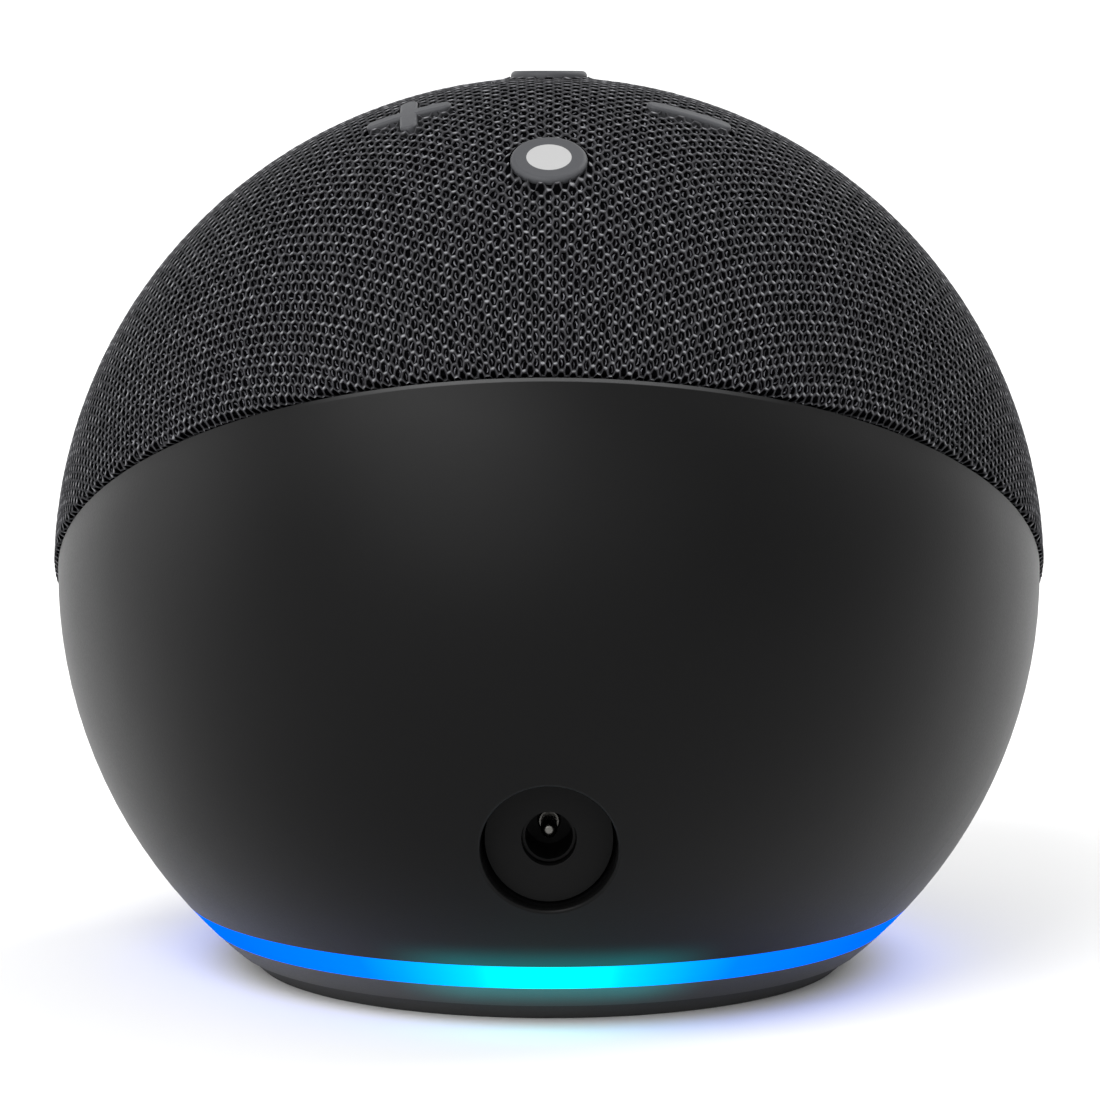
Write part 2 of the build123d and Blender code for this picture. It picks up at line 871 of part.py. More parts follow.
def speaker_leads():
    """Pair of insulated wires from the driver to the main board."""
    wires = []
    for side in (-1, 1):
        points = [Vector(*point) for point in lead_route(side)]
        runs = [end - start for start, end in zip(points, points[1:])]
        bends = [
            lead_bend_share
            * min(before.length, after.length)
            / tan(radians(before.get_angle(after)) / 2)
            for before, after in zip(runs, runs[1:])
        ]
        path = FilletPolyline(*points, radius=bends)
        section = Plane(origin=path @ 0, z_dir=path % 0) * Circle(lead_radius)
        wires.append(driver_plane * sweep(section, path))
    return together(wires)


def lead_grommet():
    """Rubber bush that seals the leads in the enclosure's rear wall."""
    body = rod(grommet_radius - grommet_clearance, -enclosure_back, enclosure_wall - enclosure_back)
    body += rod(
        grommet_radius + grommet_flange,
        -enclosure_back - grommet_flange,
        -enclosure_back,
    )
    for side in (-1, 1):
        body -= rod(
            lead_radius + screw_thread_clearance,
            -enclosure_back - grommet_flange,
            enclosure_wall - enclosure_back,
            side * lead_pitch / 2,
        )
    return driver_plane * (Pos(0, -lead_drop, 0) * body)


def lead_connector():
    """Socket of the leads on the main board's front."""
    return driver_plane * block(
        socket_width, socket_depth, -board_front, -lead_end(), 0, -lead_drop
    )


# Main board, in the jack's frame: w towards the back, v up from the jack
def main_board():
    """Upright circuit board behind the enclosure."""
    middle = board_low + main_board_height / 2 - jack_z
    board = block(main_board_width, main_board_height, board_front, board_back, 0, middle)
    board = fillet(board.edges().filter_by(Axis.Z), standoff_radius)
    hole = rod(small_screw_radius + screw_hole_clearance, -board_back, -board_front)
    return jack_plane * board - [
        driver_plane * item for item in around(quarter_turns, board_screw_circle(), hole)
    ]


def on_board(width, height, depth, u, z, base=0.0):
    """Block on the main board's rear face."""
    return jack_plane * block(width, height, board_back + base, board_back + base + depth, u, z - jack_z)


def main_board_screws():
    """Screws through the main board into the enclosure's standoffs."""
    item = Pos(0, 0, -board_back) * Rot(180, 0, 0) * board_screw()
    return together(driver_plane * part for part in around(quarter_turns, board_screw_circle(), item))


def shield_can():
    """Pressed lid over the processor and memory, open towards the board."""
    lid = on_board(shield_width, shield_height, shield_depth, 0, shield_z)
    inside = on_board(
        shield_width - 2 * shield_wall,
        shield_height - 2 * shield_wall,
        shield_depth - shield_wall,
        0,
        shield_z,
    )
    return lid - inside


def processor():
    """Main chip under the shield."""
    offset = -(memory_width + chip_spacing) / 2
    return on_board(processor_side, processor_side, processor_height, offset, shield_z)


def memory_chip():
    """Memory beside the processor."""
    offset = (processor_side + chip_spacing) / 2
    return on_board(memory_width, memory_height, processor_height, offset, shield_z)


def thermal_pad():
    """Soft pad between the shield and the heat sink."""
    return on_board(
        thermal_pad_side, thermal_pad_side, thermal_pad_thickness, 0, shield_z, shield_depth
    )


def heat_sink():
    """Finned aluminium block on the pad."""
    base = shield_depth + thermal_pad_thickness
    sink = on_board(shield_width, shield_height, sink_base, 0, shield_z, base)
    pitch = (shield_width - sink_fin_thickness) / (sink_fins - 1)
    for index in range(sink_fins):
        u = (index - (sink_fins - 1) / 2) * pitch
        sink += on_board(
            sink_fin_thickness, shield_height, sink_fin_depth, u, shield_z, base + sink_base
        )
    return sink


def amplifier_chip():
    """Audio amplifier beside the jack."""
    return on_board(amplifier_side, amplifier_side, amplifier_height, low_part_offset, jack_z)


def power_inductor():
    """Choke of the power converter, beside the jack."""
    choke = on_board(inductor_side, inductor_side, inductor_height, -low_part_offset, jack_z)
    return fillet(choke.edges().filter_by(Axis.Y), inductor_edge_round)


def antennas():
    """Bent strips of the two radio antennas along the board's side edges."""
    strips = []
    blade_offset = (main_board_width - antenna_thickness) / 2 - antenna_margin
    foot_offset = (main_board_width - antenna_foot) / 2 - antenna_margin
    for side in (-1, 1):
        foot = on_board(antenna_foot, antenna_length, antenna_thickness, side * foot_offset, shield_z)
        blade = on_board(antenna_thickness, antenna_length, antenna_rise, side * blade_offset, shield_z)
        strips.append(foot + blade)
    return together(strips)


def ribbon_sockets():
    """Sockets of the two ribbons on the main board's rear face."""
    return together(
        [
            on_board(socket_width, socket_depth, socket_height, 0, button_socket_z),
            on_board(socket_width, socket_depth, socket_height, -led_ribbon_offset, led_socket_z),
        ]
    )


def ribbon(points, u):
    """Flat cable along a bent line of (y, z) points, at a sideways place u."""
    path = FilletPolyline(*[(u, y, z) for y, z in points], radius=ribbon_bend)
    section = Plane(origin=path @ 0, x_dir=(1, 0, 0), z_dir=path % 0)
    return sweep(section * Rectangle(ribbon_width, ribbon_thickness), path)


def button_ribbon():
    """Flat cable from the button board to the main board."""
    start = press_plane.from_local_coords(
        Vector(0, -button_ribbon_reach - socket_depth / 2, button_board_low - ribbon_lift)
    )
    level = -board_back - ribbon_lift
    drop = start.Z + (start.Y - level) * -tan(radians(press_tilt))
    end = button_socket_z + socket_depth / 2
    return ribbon([(start.Y, start.Z), (level, drop), (level, end)], 0)


def led_ribbon():
    """Flat cable from the light ring's board to the main board."""
    start = -led_socket_edge
    level = -board_back - ribbon_lift
    low = led_board_top + ribbon_lift
    return ribbon([(start, low), (level, low), (level, led_socket_z - socket_depth / 2)], -led_ribbon_offset)


def dc_jack_body():
    """Moulded jack on the main board, with its nose in the recess's floor."""
    body = block(jack_body_side, jack_body_side, board_back, jack_shoulder)
    nose = rod(jack_nose_radius, jack_shoulder, jack_front)
    bore = rod(jack_bore_radius, jack_front - jack_bore_depth, jack_front)
    return jack_plane * (body + nose - bore)


def dc_jack_pin():
    """Centre pin with a round tip, standing on its collar."""
    low, tip = jack_front - jack_bore_depth, recess_floor - jack_pin_setback
    pin = rod(jack_pin_radius, low, tip)
    pin = fillet(pin.edges().group_by(Axis.Z)[-1], jack_pin_tip_round)
    collar = rod(jack_collar_radius, low, low + jack_collar_height)
    collar = fillet(collar.edges().group_by(Axis.Z)[-1], jack_collar_round)
    return jack_plane * (pin + collar)


def dc_jack_contact():
    """Sprung sleeve contact in the upper half of the jack's bore."""
    outer = jack_bore_radius - jack_contact_clearance
    low = jack_front - jack_bore_depth
    high = low + jack_contact_length
    sleeve = tube(outer - jack_contact_thickness, outer, low, high)
    upper = block(2 * outer, outer, low, high, 0, jack_contact_lift + outer / 2)
    return jack_plane * (sleeve & upper)


# Button board
def button_board():
    """Round board under the top buttons, screwed to the dome's bosses."""
    board = rod(button_board_radius, button_board_low, button_board_level)
    hole = rod(small_screw_radius + screw_hole_clearance, button_board_low, button_board_level)
    return press_plane * (board - around(quarter_turns, button_boss_circle, hole))


def button_board_screws():
    """Screws up through the button board."""
    item = Pos(0, 0, button_board_low) * Rot(180, 0, 0) * board_screw()
    return together(press_plane * part for part in around(quarter_turns, button_boss_circle, item))


def microphones():
    """Microphone cans on the button board, each with its port."""
    high = button_board_level + microphone_height
    can = block(microphone_side, microphone_side, button_board_level, high)
    can -= rod(microphone_port_radius, button_board_level + microphone_height / 2, high)
    return together(press_plane * part for part in around(quarter_turns, microphone_circle, can))


def mic_boots():
    """Rubber tubes from the microphones to the ports in the dome."""
    low = button_board_level + microphone_height
    boot = tube(microphone_port_radius, boot_radius, low, ball_radius)
    room = Sphere(shell_inner - boot_clearance)
    return together(
        press_plane * (part & room) for part in around(quarter_turns, microphone_circle, boot)
    )


def button_board_socket():
    """Socket of the button ribbon under the button board."""
    return press_plane * block(
        socket_width,
        socket_depth,
        button_board_low - socket_height,
        button_board_low,
        0,
        -button_ribbon_reach,
    )


# Light ring board
def led_board():
    """Annular board on the base plate's posts, with room for the enclosure's legs."""
    board = tube(led_board_inner, led_board_outer, led_board_low, led_board_top)
    leg_hole = rod(post_radius + post_hole_clearance, led_board_low, led_board_top)
    hole = rod(small_screw_radius + screw_hole_clearance, led_board_low, led_board_top)
    board -= around(quarter_turns, screw_circle, leg_hole)
    return board - around(range(0, 360, 90), led_post_circle, hole)


def led_board_screws():
    """Screws that hold the light ring's board."""
    item = Pos(0, 0, led_board_top) * board_screw()
    return together(around(range(0, 360, 90), led_post_circle, item))


def ring_leds():
    """Side-firing lamps under the board's edge, aimed at the light ring."""
    lamp = block(led_depth, led_width, led_board_low - led_height, led_board_low)
    circle = led_board_outer - led_edge_setback - led_depth / 2
    angles = [index * 360 / led_count for index in range(led_count)]
    return together(around(angles, circle, lamp))


def led_board_socket():
    """Socket of the light ring's ribbon."""
    return block(
        socket_width,
        socket_depth,
        led_board_top,
        led_board_top + socket_height,
        -led_ribbon_offset,
        -led_socket_middle,
    )


def build():
    """Every sub-part by its node name."""
    parts = {
        "fabric_cover": fabric_cover(),
        "grille_shell": grille_shell(),
        "rear_housing": rear_housing(),
        "light_ring": light_ring(),
        "base_plate": base_plate(),
        "rubber_foot": rubber_foot(),
        "base_screws": base_screws(),
        "tact_switches": tact_switches(),
        "button_board": button_board(),
        "button_board_screws": button_board_screws(),
        "button_board_socket": button_board_socket(),
        "button_ribbon": button_ribbon(),
        "microphones": microphones(),
        "mic_boots": mic_boots(),
        "speaker_enclosure": speaker_enclosure(),
        "driver_gasket": driver_gasket(),
        "driver_basket": driver_basket(),
        "driver_top_plate": driver_top_plate(),
        "driver_magnet": driver_magnet(),
        "driver_yoke": driver_yoke(),
        "voice_coil": voice_coil(),
        "driver_spider": driver_spider(),
        "driver_cone": driver_cone(),
        "driver_surround": driver_surround(),
        "dust_cap": dust_cap(),
        "driver_screws": driver_screws(),
        "driver_terminal": driver_terminal(),
        "speaker_leads": speaker_leads(),
        "lead_grommet": lead_grommet(),
        "lead_connector": lead_connector(),
        "main_board": main_board(),
        "main_board_screws": main_board_screws(),
        "processor": processor(),
        "memory_chip": memory_chip(),
        "shield_can": shield_can(),
        "thermal_pad": thermal_pad(),
        "heat_sink": heat_sink(),
        "amplifier_chip": amplifier_chip(),
        "power_inductor": power_inductor(),
        "antennas": antennas(),
        "ribbon_sockets": ribbon_sockets(),
        "dc_jack_body": dc_jack_body(),
        "dc_jack_pin": dc_jack_pin(),
        "dc_jack_contact": dc_jack_contact(),
        "led_board": led_board(),
        "led_board_screws": led_board_screws(),
        "led_board_socket": led_board_socket(),
        "led_ribbon": led_ribbon(),
        "ring_leds": ring_leds(),
        "action_dot": action_dot_seat(),
    }
    for name, (plane, outline) in BUTTONS.items():
        parts[f"{name}_button"] = button_cap(plane, outline)
        parts[f"{name}_plunger"] = switch_plunger(plane)
    parts["action_button"] -= action_dot_seat()
    return parts


if __name__ == "__main__":
    os.makedirs("parts", exist_ok=True)
    for node, shape in build().items():
        export_step(shape, f"parts/{node}.step")
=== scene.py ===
"""Looks of a ball-shaped smart speaker: knit dome, moulded shells, glowing ring, floor, light and camera.

Metres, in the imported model's frame: the origin is on the table under the ball, +Z is up and -Y is the back
with the power inlet, which the camera sees.
"""

import json
import logging
from dataclasses import dataclass, field
from enum import Enum
from math import cos, pi, radians, sin
from typing import Any, Mapping, Sequence

import bpy
import numpy as np
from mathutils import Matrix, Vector


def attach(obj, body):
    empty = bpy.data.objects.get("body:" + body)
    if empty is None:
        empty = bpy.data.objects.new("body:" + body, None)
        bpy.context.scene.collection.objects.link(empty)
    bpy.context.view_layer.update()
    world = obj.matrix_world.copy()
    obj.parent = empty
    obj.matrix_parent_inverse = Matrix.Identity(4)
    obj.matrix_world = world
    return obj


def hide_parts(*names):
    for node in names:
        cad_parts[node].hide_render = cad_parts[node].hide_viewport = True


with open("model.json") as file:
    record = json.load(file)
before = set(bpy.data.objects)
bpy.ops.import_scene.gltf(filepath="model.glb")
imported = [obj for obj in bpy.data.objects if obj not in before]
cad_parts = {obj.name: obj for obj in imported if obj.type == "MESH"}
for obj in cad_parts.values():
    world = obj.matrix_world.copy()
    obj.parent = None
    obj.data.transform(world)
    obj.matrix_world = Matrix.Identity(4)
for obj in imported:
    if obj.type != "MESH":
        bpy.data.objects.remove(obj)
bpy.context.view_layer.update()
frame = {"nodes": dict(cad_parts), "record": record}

Colour = tuple[float, float, float]
Array = np.ndarray
Cloth = tuple[Array, Array, Array, Array]
MM = 0.001
TINY = 1e-9
BALL_CENTRE = 39.8 * MM
SEAM_TILT = radians(33.0)
FLAT_MAP = "knit"
YARN_HEIGHT = "yarn"
log = logging.getLogger("speaker")


def shaded(colour: Colour, factor: float) -> Colour:
    """A colour made lighter or darker by a factor."""
    return tuple(min(1.0, channel * factor) for channel in colour)


# Shader graph
class Value:
    """A shader socket on which Python arithmetic adds Math nodes."""

    def __init__(self, graph: "Graph", socket: bpy.types.NodeSocket) -> None:
        """Keeps the graph and the output socket."""
        self.graph = graph
        self.socket = socket

    def _math(self, operation: str, *operands: Any) -> "Value":
        """One Math node on numbers or values.

        Args:
            operation: Blender's name of the operation.
            operands: the node's inputs in order.

        Returns:
            The node's result.
        """
        inputs = {index: operand for index, operand in enumerate(operands)}
        return self.graph.node("ShaderNodeMath", {"operation": operation}, inputs)

    def __add__(self, other: Any) -> "Value":
        """Sum."""
        return self._math("ADD", self, other)

    __radd__ = __add__

    def __sub__(self, other: Any) -> "Value":
        """Difference."""
        return self._math("SUBTRACT", self, other)

    def __rsub__(self, other: Any) -> "Value":
        """Difference from a number."""
        return self._math("SUBTRACT", other, self)

    def __mul__(self, other: Any) -> "Value":
        """Product."""
        return self._math("MULTIPLY", self, other)

    __rmul__ = __mul__

    def __truediv__(self, other: Any) -> "Value":
        """Quotient."""
        return self._math("DIVIDE", self, other)

    def __neg__(self) -> "Value":
        """Opposite."""
        return self._math("MULTIPLY", self, -1.0)

    def bearing(self, other: Any) -> "Value":
        """Angle of the point (other, self) from the first axis, in radians."""
        return self._math("ARCTAN2", self, other)

    def size(self) -> "Value":
        """Absolute value."""
        return self._math("ABSOLUTE", self)

    def sine(self) -> "Value":
        """Sine of an angle in radians."""
        return self._math("SINE", self)

    def cosine(self) -> "Value":
        """Cosine of an angle in radians."""
        return self._math("COSINE", self)

    def or_larger(self, other: Any) -> "Value":
        """The larger of two values."""
        return self._math("MAXIMUM", self, other)

    def between(self, low: float, high: float) -> "Value":
        """Smooth step: 0 below low, 1 above high."""
        return self.graph.node(
            "ShaderNodeMapRange",
            {"interpolation_type": "SMOOTHSTEP"},
            {"Value": self, "From Min": low, "From Max": high},
        )

    def about(self, middle: float, spread: float) -> "Value":
        """Noise about 0.5 turned into a value about a middle."""
        return (self - 0.5) * spread + middle

    def part(self, axis: str) -> "Value":
        """One coordinate, X, Y or Z, of a vector."""
        return self.graph.node("ShaderNodeSeparateXYZ", inputs={"Vector": self}, output=axis)


class Graph:
    """One node tree, built by naming nodes, their settings and their inputs."""

    def __init__(self, tree: bpy.types.NodeTree) -> None:
        """Empties the tree and keeps it."""
        self.tree = tree
        tree.nodes.clear()

    def node(
        self,
        kind: str,
        settings: Mapping[str, Any] | None = None,
        inputs: Mapping[Any, Any] | None = None,
        output: str | int = 0,
    ) -> Value:
        """Adds a node.

        Args:
            kind: Blender's node type.
            settings: properties set first; "stops" are a colour ramp's (place, colour) pairs.
            inputs: numbers, colours or values by socket identifier, name or index.
            output: name or index of the wanted output.

        Returns:
            That output.
        """
        made = self.tree.nodes.new(kind)
        for name, setting in (settings or {}).items():
            if name == "stops":
                self._set_stops(made.color_ramp, setting)
            else:
                setattr(made, name, setting)
        by_identifier = {socket.identifier: socket for socket in made.inputs}
        for key, given in (inputs or {}).items():
            socket = by_identifier[key] if key in by_identifier else made.inputs[key]
            if isinstance(given, Value):
                self.tree.links.new(given.socket, socket)
            elif isinstance(given, tuple) and socket.type == "RGBA":
                socket.default_value = (*given, 1.0)
            else:
                socket.default_value = given
        outputs = {socket.identifier: socket for socket in made.outputs}
        return Value(self, outputs[output] if output in outputs else made.outputs[output])

    @staticmethod
    def _set_stops(ramp: bpy.types.ColorRamp, stops: Sequence[tuple[float, Colour]]) -> None:
        """Sets a colour ramp's stops, in order.

        Args:
            ramp: the ramp, new and so with two stops.
            stops: places from 0 to 1 with their colours.
        """
        while len(ramp.elements) < len(stops):
            ramp.elements.new(1.0)
        for element, (place, colour) in zip(ramp.elements, stops):
            element.position = place
            element.color = (*colour, 1.0)

    def places(self) -> Value:
        """Object coordinates, in metres."""
        return self.node("ShaderNodeTexCoord", output="Object")

    def cloth_places(self) -> Value:
        """Places on the flat cloth, in cell units."""
        return self.node("ShaderNodeUVMap", {"uv_map": FLAT_MAP}, output="UV")

    def yarn_height(self) -> Value:
        """Height on the yarn, from 0 to 1, which a cloth's mesh holds at its points."""
        settings = {"attribute_type": "GEOMETRY", "attribute_name": YARN_HEIGHT}
        return self.node("ShaderNodeAttribute", settings, output="Fac")

    def turn_from_back(self) -> Value:
        """Angle about the upright axis from the back to either side, in radians."""
        places = self.places()
        return places.part("X").bearing(-places.part("Y")).size()

    def noise(self, grain: float, detail: float = 2.0, at: Value | None = None) -> Value:
        """Noise with features of a given size.

        Args:
            grain: size of a feature, in the units of the coordinates.
            detail: octaves of finer noise.
            at: coordinates, or None for Object coordinates.

        Returns:
            A value about 0.5.
        """
        inputs = {"Vector": at or self.places(), "Scale": 1.0 / grain, "Detail": detail}
        return self.node("ShaderNodeTexNoise", inputs=inputs, output="Fac")

    def mix(self, share: Value, first: Any, second: Any) -> Value:
        """Colour between two colours, by a share from 0 to 1."""
        return self.node(
            "ShaderNodeMix",
            {"data_type": "RGBA"},
            {"Factor_Float": share, "A_Color": first, "B_Color": second},
            "Result_Color",
        )

    def shades(self, share: Value, colour: Colour, dark: float, light: float) -> Value:
        """Colour between a darker and a lighter shade of one colour, by a share from 0 to 1."""
        return self.mix(share, shaded(colour, dark), shaded(colour, light))

    def bump(self, height: Value, depth: float) -> Value:
        """Normal of a surface with a relief of a given depth in metres."""
        inputs = {"Height": height, "Distance": depth, "Strength": 1.0}
        return self.node("ShaderNodeBump", inputs=inputs, output="Normal")

    def end(self, shader: Value, kind: str = "ShaderNodeOutputMaterial") -> None:
        """Ends the tree in a shader."""
        out = self.tree.nodes.new(kind)
        self.tree.links.new(shader.socket, out.inputs["Surface"])

    def surface(self, inputs: Mapping[str, Any]) -> None:
        """Ends a material in one Principled shader with these inputs."""
        self.end(self.node("ShaderNodeBsdfPrincipled", inputs=inputs))


# Finishes
class Finish:
    """A surface finish that becomes one procedural material."""

    def paint(self, graph: Graph) -> None:
        """Builds the finish's nodes in a material's graph."""
        raise NotImplementedError

    def material(self, name: str) -> bpy.types.Material:
        """The finish as a Blender material.

        Args:
            name: the material's name.

        Returns:
            The material.
        """
        made = bpy.data.materials.new(name)
        made.use_nodes = True
        self.paint(Graph(made.node_tree))
        return made


@dataclass(frozen=True)
class Moulded(Finish):
    """Moulded plastic or rubber: fine spark-eroded grain, soft mottling and slightly uneven gloss."""

    colour: Colour
    roughness: float = 0.5
    grain: float = 0.22 * MM
    depth: float = 0.006 * MM
    mottle: float = 0.1
    specular: float = 0.3
    head_on: float = 1.0
    cloud: float = 14 * MM
    cloud_gloss: float = 0.08
    grain_gloss: float = 0.1

    def coloured(self, graph: Graph, cloud: Value) -> Value:
        """The mottled colour."""
        return graph.shades(cloud, self.colour, 1 - self.mottle, 1 + self.mottle)

    def lit(self, graph: Graph) -> dict[str, Any]:
        """Emission inputs, none on plain mouldings."""
        return {}

    def paint(self, graph: Graph) -> None:
        """Mottles the colour, varies the gloss and adds the grain as relief.

        Args:
            graph: the material's graph.
        """
        cloud = graph.noise(self.cloud, detail=3.0)
        grain = graph.noise(self.grain)
        gloss = cloud.about(self.roughness, self.cloud_gloss) + (grain - 0.5) * self.grain_gloss
        graph.surface(
            {
                "Base Color": self.coloured(graph, cloud),
                "Roughness": gloss,
                "Specular IOR Level": self.specular,
                "Specular Tint": (self.head_on,) * 3,
                "Normal": graph.bump(grain, self.depth),
                **self.lit(graph),
            }
        )


@dataclass(frozen=True)
class RingNeighbour(Moulded):
    """A moulding beside the light ring, with a painted teal glow of the ring's light as emission near its
    edge at the back.
    """

    painted_ring_glow: Colour = (0.0, 0.1, 0.105)
    ring_low: float = 4.05 * MM
    ring_high: float = 6.8 * MM
    reach: float = 3.6 * MM
    full_turn: float = radians(12.0)
    last_turn: float = radians(29.0)

    def lit(self, graph: Graph) -> dict[str, Any]:
        """Painted glow of the ring's light, which fades with the distance from the ring and with the turn
        from the back.

        Args:
            graph: the material's graph.

        Returns:
            The emission inputs.
        """
        height = graph.places().part("Z")
        away = (height - self.ring_high).or_larger(self.ring_low - height)
        near = 1.0 - away.between(0.0, self.reach)
        behind = 1.0 - graph.turn_from_back().between(self.full_turn, self.last_turn)
        # painted glow: emission that stands in for the ring's light falling on this part
        colour = graph.mix(near * near * behind, (0.0, 0.0, 0.0), self.painted_ring_glow)
        return {"Emission Color": colour, "Emission Strength": 1.0}


@dataclass(frozen=True)
class SeamedShell(RingNeighbour):
    """The lower shell, with a painted highlight that makes its bevelled edge along the seam paler at the
    back.
    """

    # colour of the painted highlight on the bevel
    edge: Colour = (0.05, 0.05, 0.051)
    highlight_start: float = 0.44 * MM
    highlight_full: float = 0.32 * MM
    highlight_full_side: float = 8 * MM
    highlight_last_side: float = 26 * MM

    def coloured(self, graph: Graph, cloud: Value) -> Value:
        """The mottled colour, with a painted highlight on the bevel.

        A point's height over the seam's plane is y sin(tilt) + (z - centre) cos(tilt), and the bevel lies
        just below that plane.

        Args:
            graph: the material's graph.
            cloud: noise of the mottling.

        Returns:
            The colour.
        """
        places = graph.places()
        along = places.part("Y") * sin(SEAM_TILT)
        over = along + (places.part("Z") - BALL_CENTRE) * cos(SEAM_TILT)
        # painted highlight on the bevel, full in the middle of the back and fading towards the sides
        bevel = over.between(-self.highlight_start, -self.highlight_full)
        middle = 1.0 - places.part("X").size().between(self.highlight_full_side, self.highlight_last_side)
        return graph.mix(bevel * middle, super().coloured(graph, cloud), self.edge)


@dataclass(frozen=True)
class Metal(Finish):
    """Plated, drawn or bare metal with fine lines along one axis."""

    colour: Colour
    roughness: float = 0.35
    line: float = 0.12 * MM
    stretch: float = 18.0
    dark: float = 0.85
    light: float = 1.1
    gloss_spread: float = 0.2
    depth: float = 0.004 * MM

    def paint(self, graph: Graph) -> None:
        """Stretches noise into brushed lines that vary colour, gloss and relief.

        Args:
            graph: the material's graph.
        """
        along = graph.node(
            "ShaderNodeMapping",
            inputs={"Vector": graph.places(), "Scale": (1.0, 1.0 / self.stretch, 1.0)},
        )
        lines = graph.noise(self.line, at=along)
        graph.surface(
            {
                "Base Color": graph.shades(lines, self.colour, self.dark, self.light),
                "Metallic": 1.0,
                "Roughness": lines.about(self.roughness, self.gloss_spread),
                "Normal": graph.bump(lines, self.depth),
            }
        )


@dataclass(frozen=True)
class CircuitBoard(Finish):
    """Solder mask over glass fibre, with raised copper tracks and bare pads."""

    mask: Colour = (0.012, 0.11, 0.05)
    track: Colour = (0.03, 0.2, 0.09)
    pad: Colour = (0.75, 0.6, 0.35)
    pitch: float = 1.4 * MM
    scatter: float = 0.55
    track_edge: tuple[float, float] = (0.05, 0.09)
    pad_edge: tuple[float, float] = (0.1, 0.13)
    roughness: float = 0.42
    pad_gloss: float = 0.1
    grain: float = 0.3 * MM
    gloss_spread: float = 0.15
    copper: float = 0.03 * MM

    def paint(self, graph: Graph) -> None:
        """Draws tracks on cell edges and pads at cell centres.

        Args:
            graph: the material's graph.
        """
        cells = {"Vector": graph.places(), "Scale": 1.0 / self.pitch, "Randomness": self.scatter}
        edge = graph.node("ShaderNodeTexVoronoi", {"feature": "DISTANCE_TO_EDGE"}, cells, "Distance")
        spot = graph.node("ShaderNodeTexVoronoi", {"feature": "F1"}, cells, "Distance")
        track = 1.0 - edge.between(*self.track_edge)
        pad = 1.0 - spot.between(*self.pad_edge)
        colour = graph.mix(pad, graph.mix(track, self.mask, self.track), self.pad)
        unevenness = (graph.noise(self.grain) - 0.5) * self.gloss_spread
        graph.surface(
            {
                "Base Color": colour,
                "Metallic": pad,
                "Roughness": self.roughness - self.pad_gloss * pad + unevenness,
                "Normal": graph.bump(track.or_larger(pad), self.copper),
            }
        )


@dataclass(frozen=True)
class PressedPulp(Finish):
    """Pressed paper pulp with short fibres."""

    colour: Colour = (0.03, 0.03, 0.03)
    dark: float = 0.6
    light: float = 1.6
    fibre: float = 0.35 * MM
    roughness: float = 0.75
    gloss_spread: float = 0.2
    depth: float = 0.04 * MM

    def paint(self, graph: Graph) -> None:
        """Fibres as fine noise in colour and relief.

        Args:
            graph: the material's graph.
        """
        fibre = graph.noise(self.fibre, detail=4.0)
        graph.surface(
            {
                "Base Color": graph.shades(fibre, self.colour, self.dark, self.light),
                "Roughness": fibre.about(self.roughness, self.gloss_spread),
                "Normal": graph.bump(fibre, self.depth),
            }
        )


@dataclass(frozen=True)
class WovenCloth(Finish):
    """Plain weave, dipped in resin."""

    colour: Colour = (0.55, 0.4, 0.17)
    thread: float = 0.5 * MM
    dark: float = 0.55
    light: float = 1.1
    grain: float = 1 * MM
    roughness: float = 0.7
    gloss_spread: float = 0.15
    depth: float = 0.05 * MM

    def paint(self, graph: Graph) -> None:
        """Weave from two crossed sine waves in the cloth's plane, X and Z.

        Args:
            graph: the material's graph.
        """
        places = graph.places()
        turns = 2 * pi / self.thread
        weave = 0.5 + 0.25 * ((places.part("X") * turns).sine() + (places.part("Z") * turns).sine())
        graph.surface(
            {
                "Base Color": graph.shades(weave, self.colour, self.dark, self.light),
                "Roughness": graph.noise(self.grain).about(self.roughness, self.gloss_spread),
                "Normal": graph.bump(weave, self.depth),
            }
        )


@dataclass(frozen=True)
class FlatCable(Finish):
    """Laminated film over parallel foil conductors."""

    film: Colour = (0.78, 0.8, 0.83)
    foil: Colour = (0.5, 0.5, 0.52)
    pitch: float = 0.5 * MM
    foil_edge: tuple[float, float] = (-0.1, 0.3)
    grain: float = 0.6 * MM
    roughness: float = 0.4
    gloss_spread: float = 0.2
    depth: float = 0.02 * MM

    def paint(self, graph: Graph) -> None:
        """Foil lines across the cable's width, from a sine wave along X.

        Args:
            graph: the material's graph.
        """
        foil = (graph.places().part("X") * (2 * pi / self.pitch)).sine().between(*self.foil_edge)
        graph.surface(
            {
                "Base Color": graph.mix(foil, self.film, self.foil),
                "Roughness": graph.noise(self.grain).about(self.roughness, self.gloss_spread),
                "Normal": graph.bump(foil, self.depth),
            }
        )


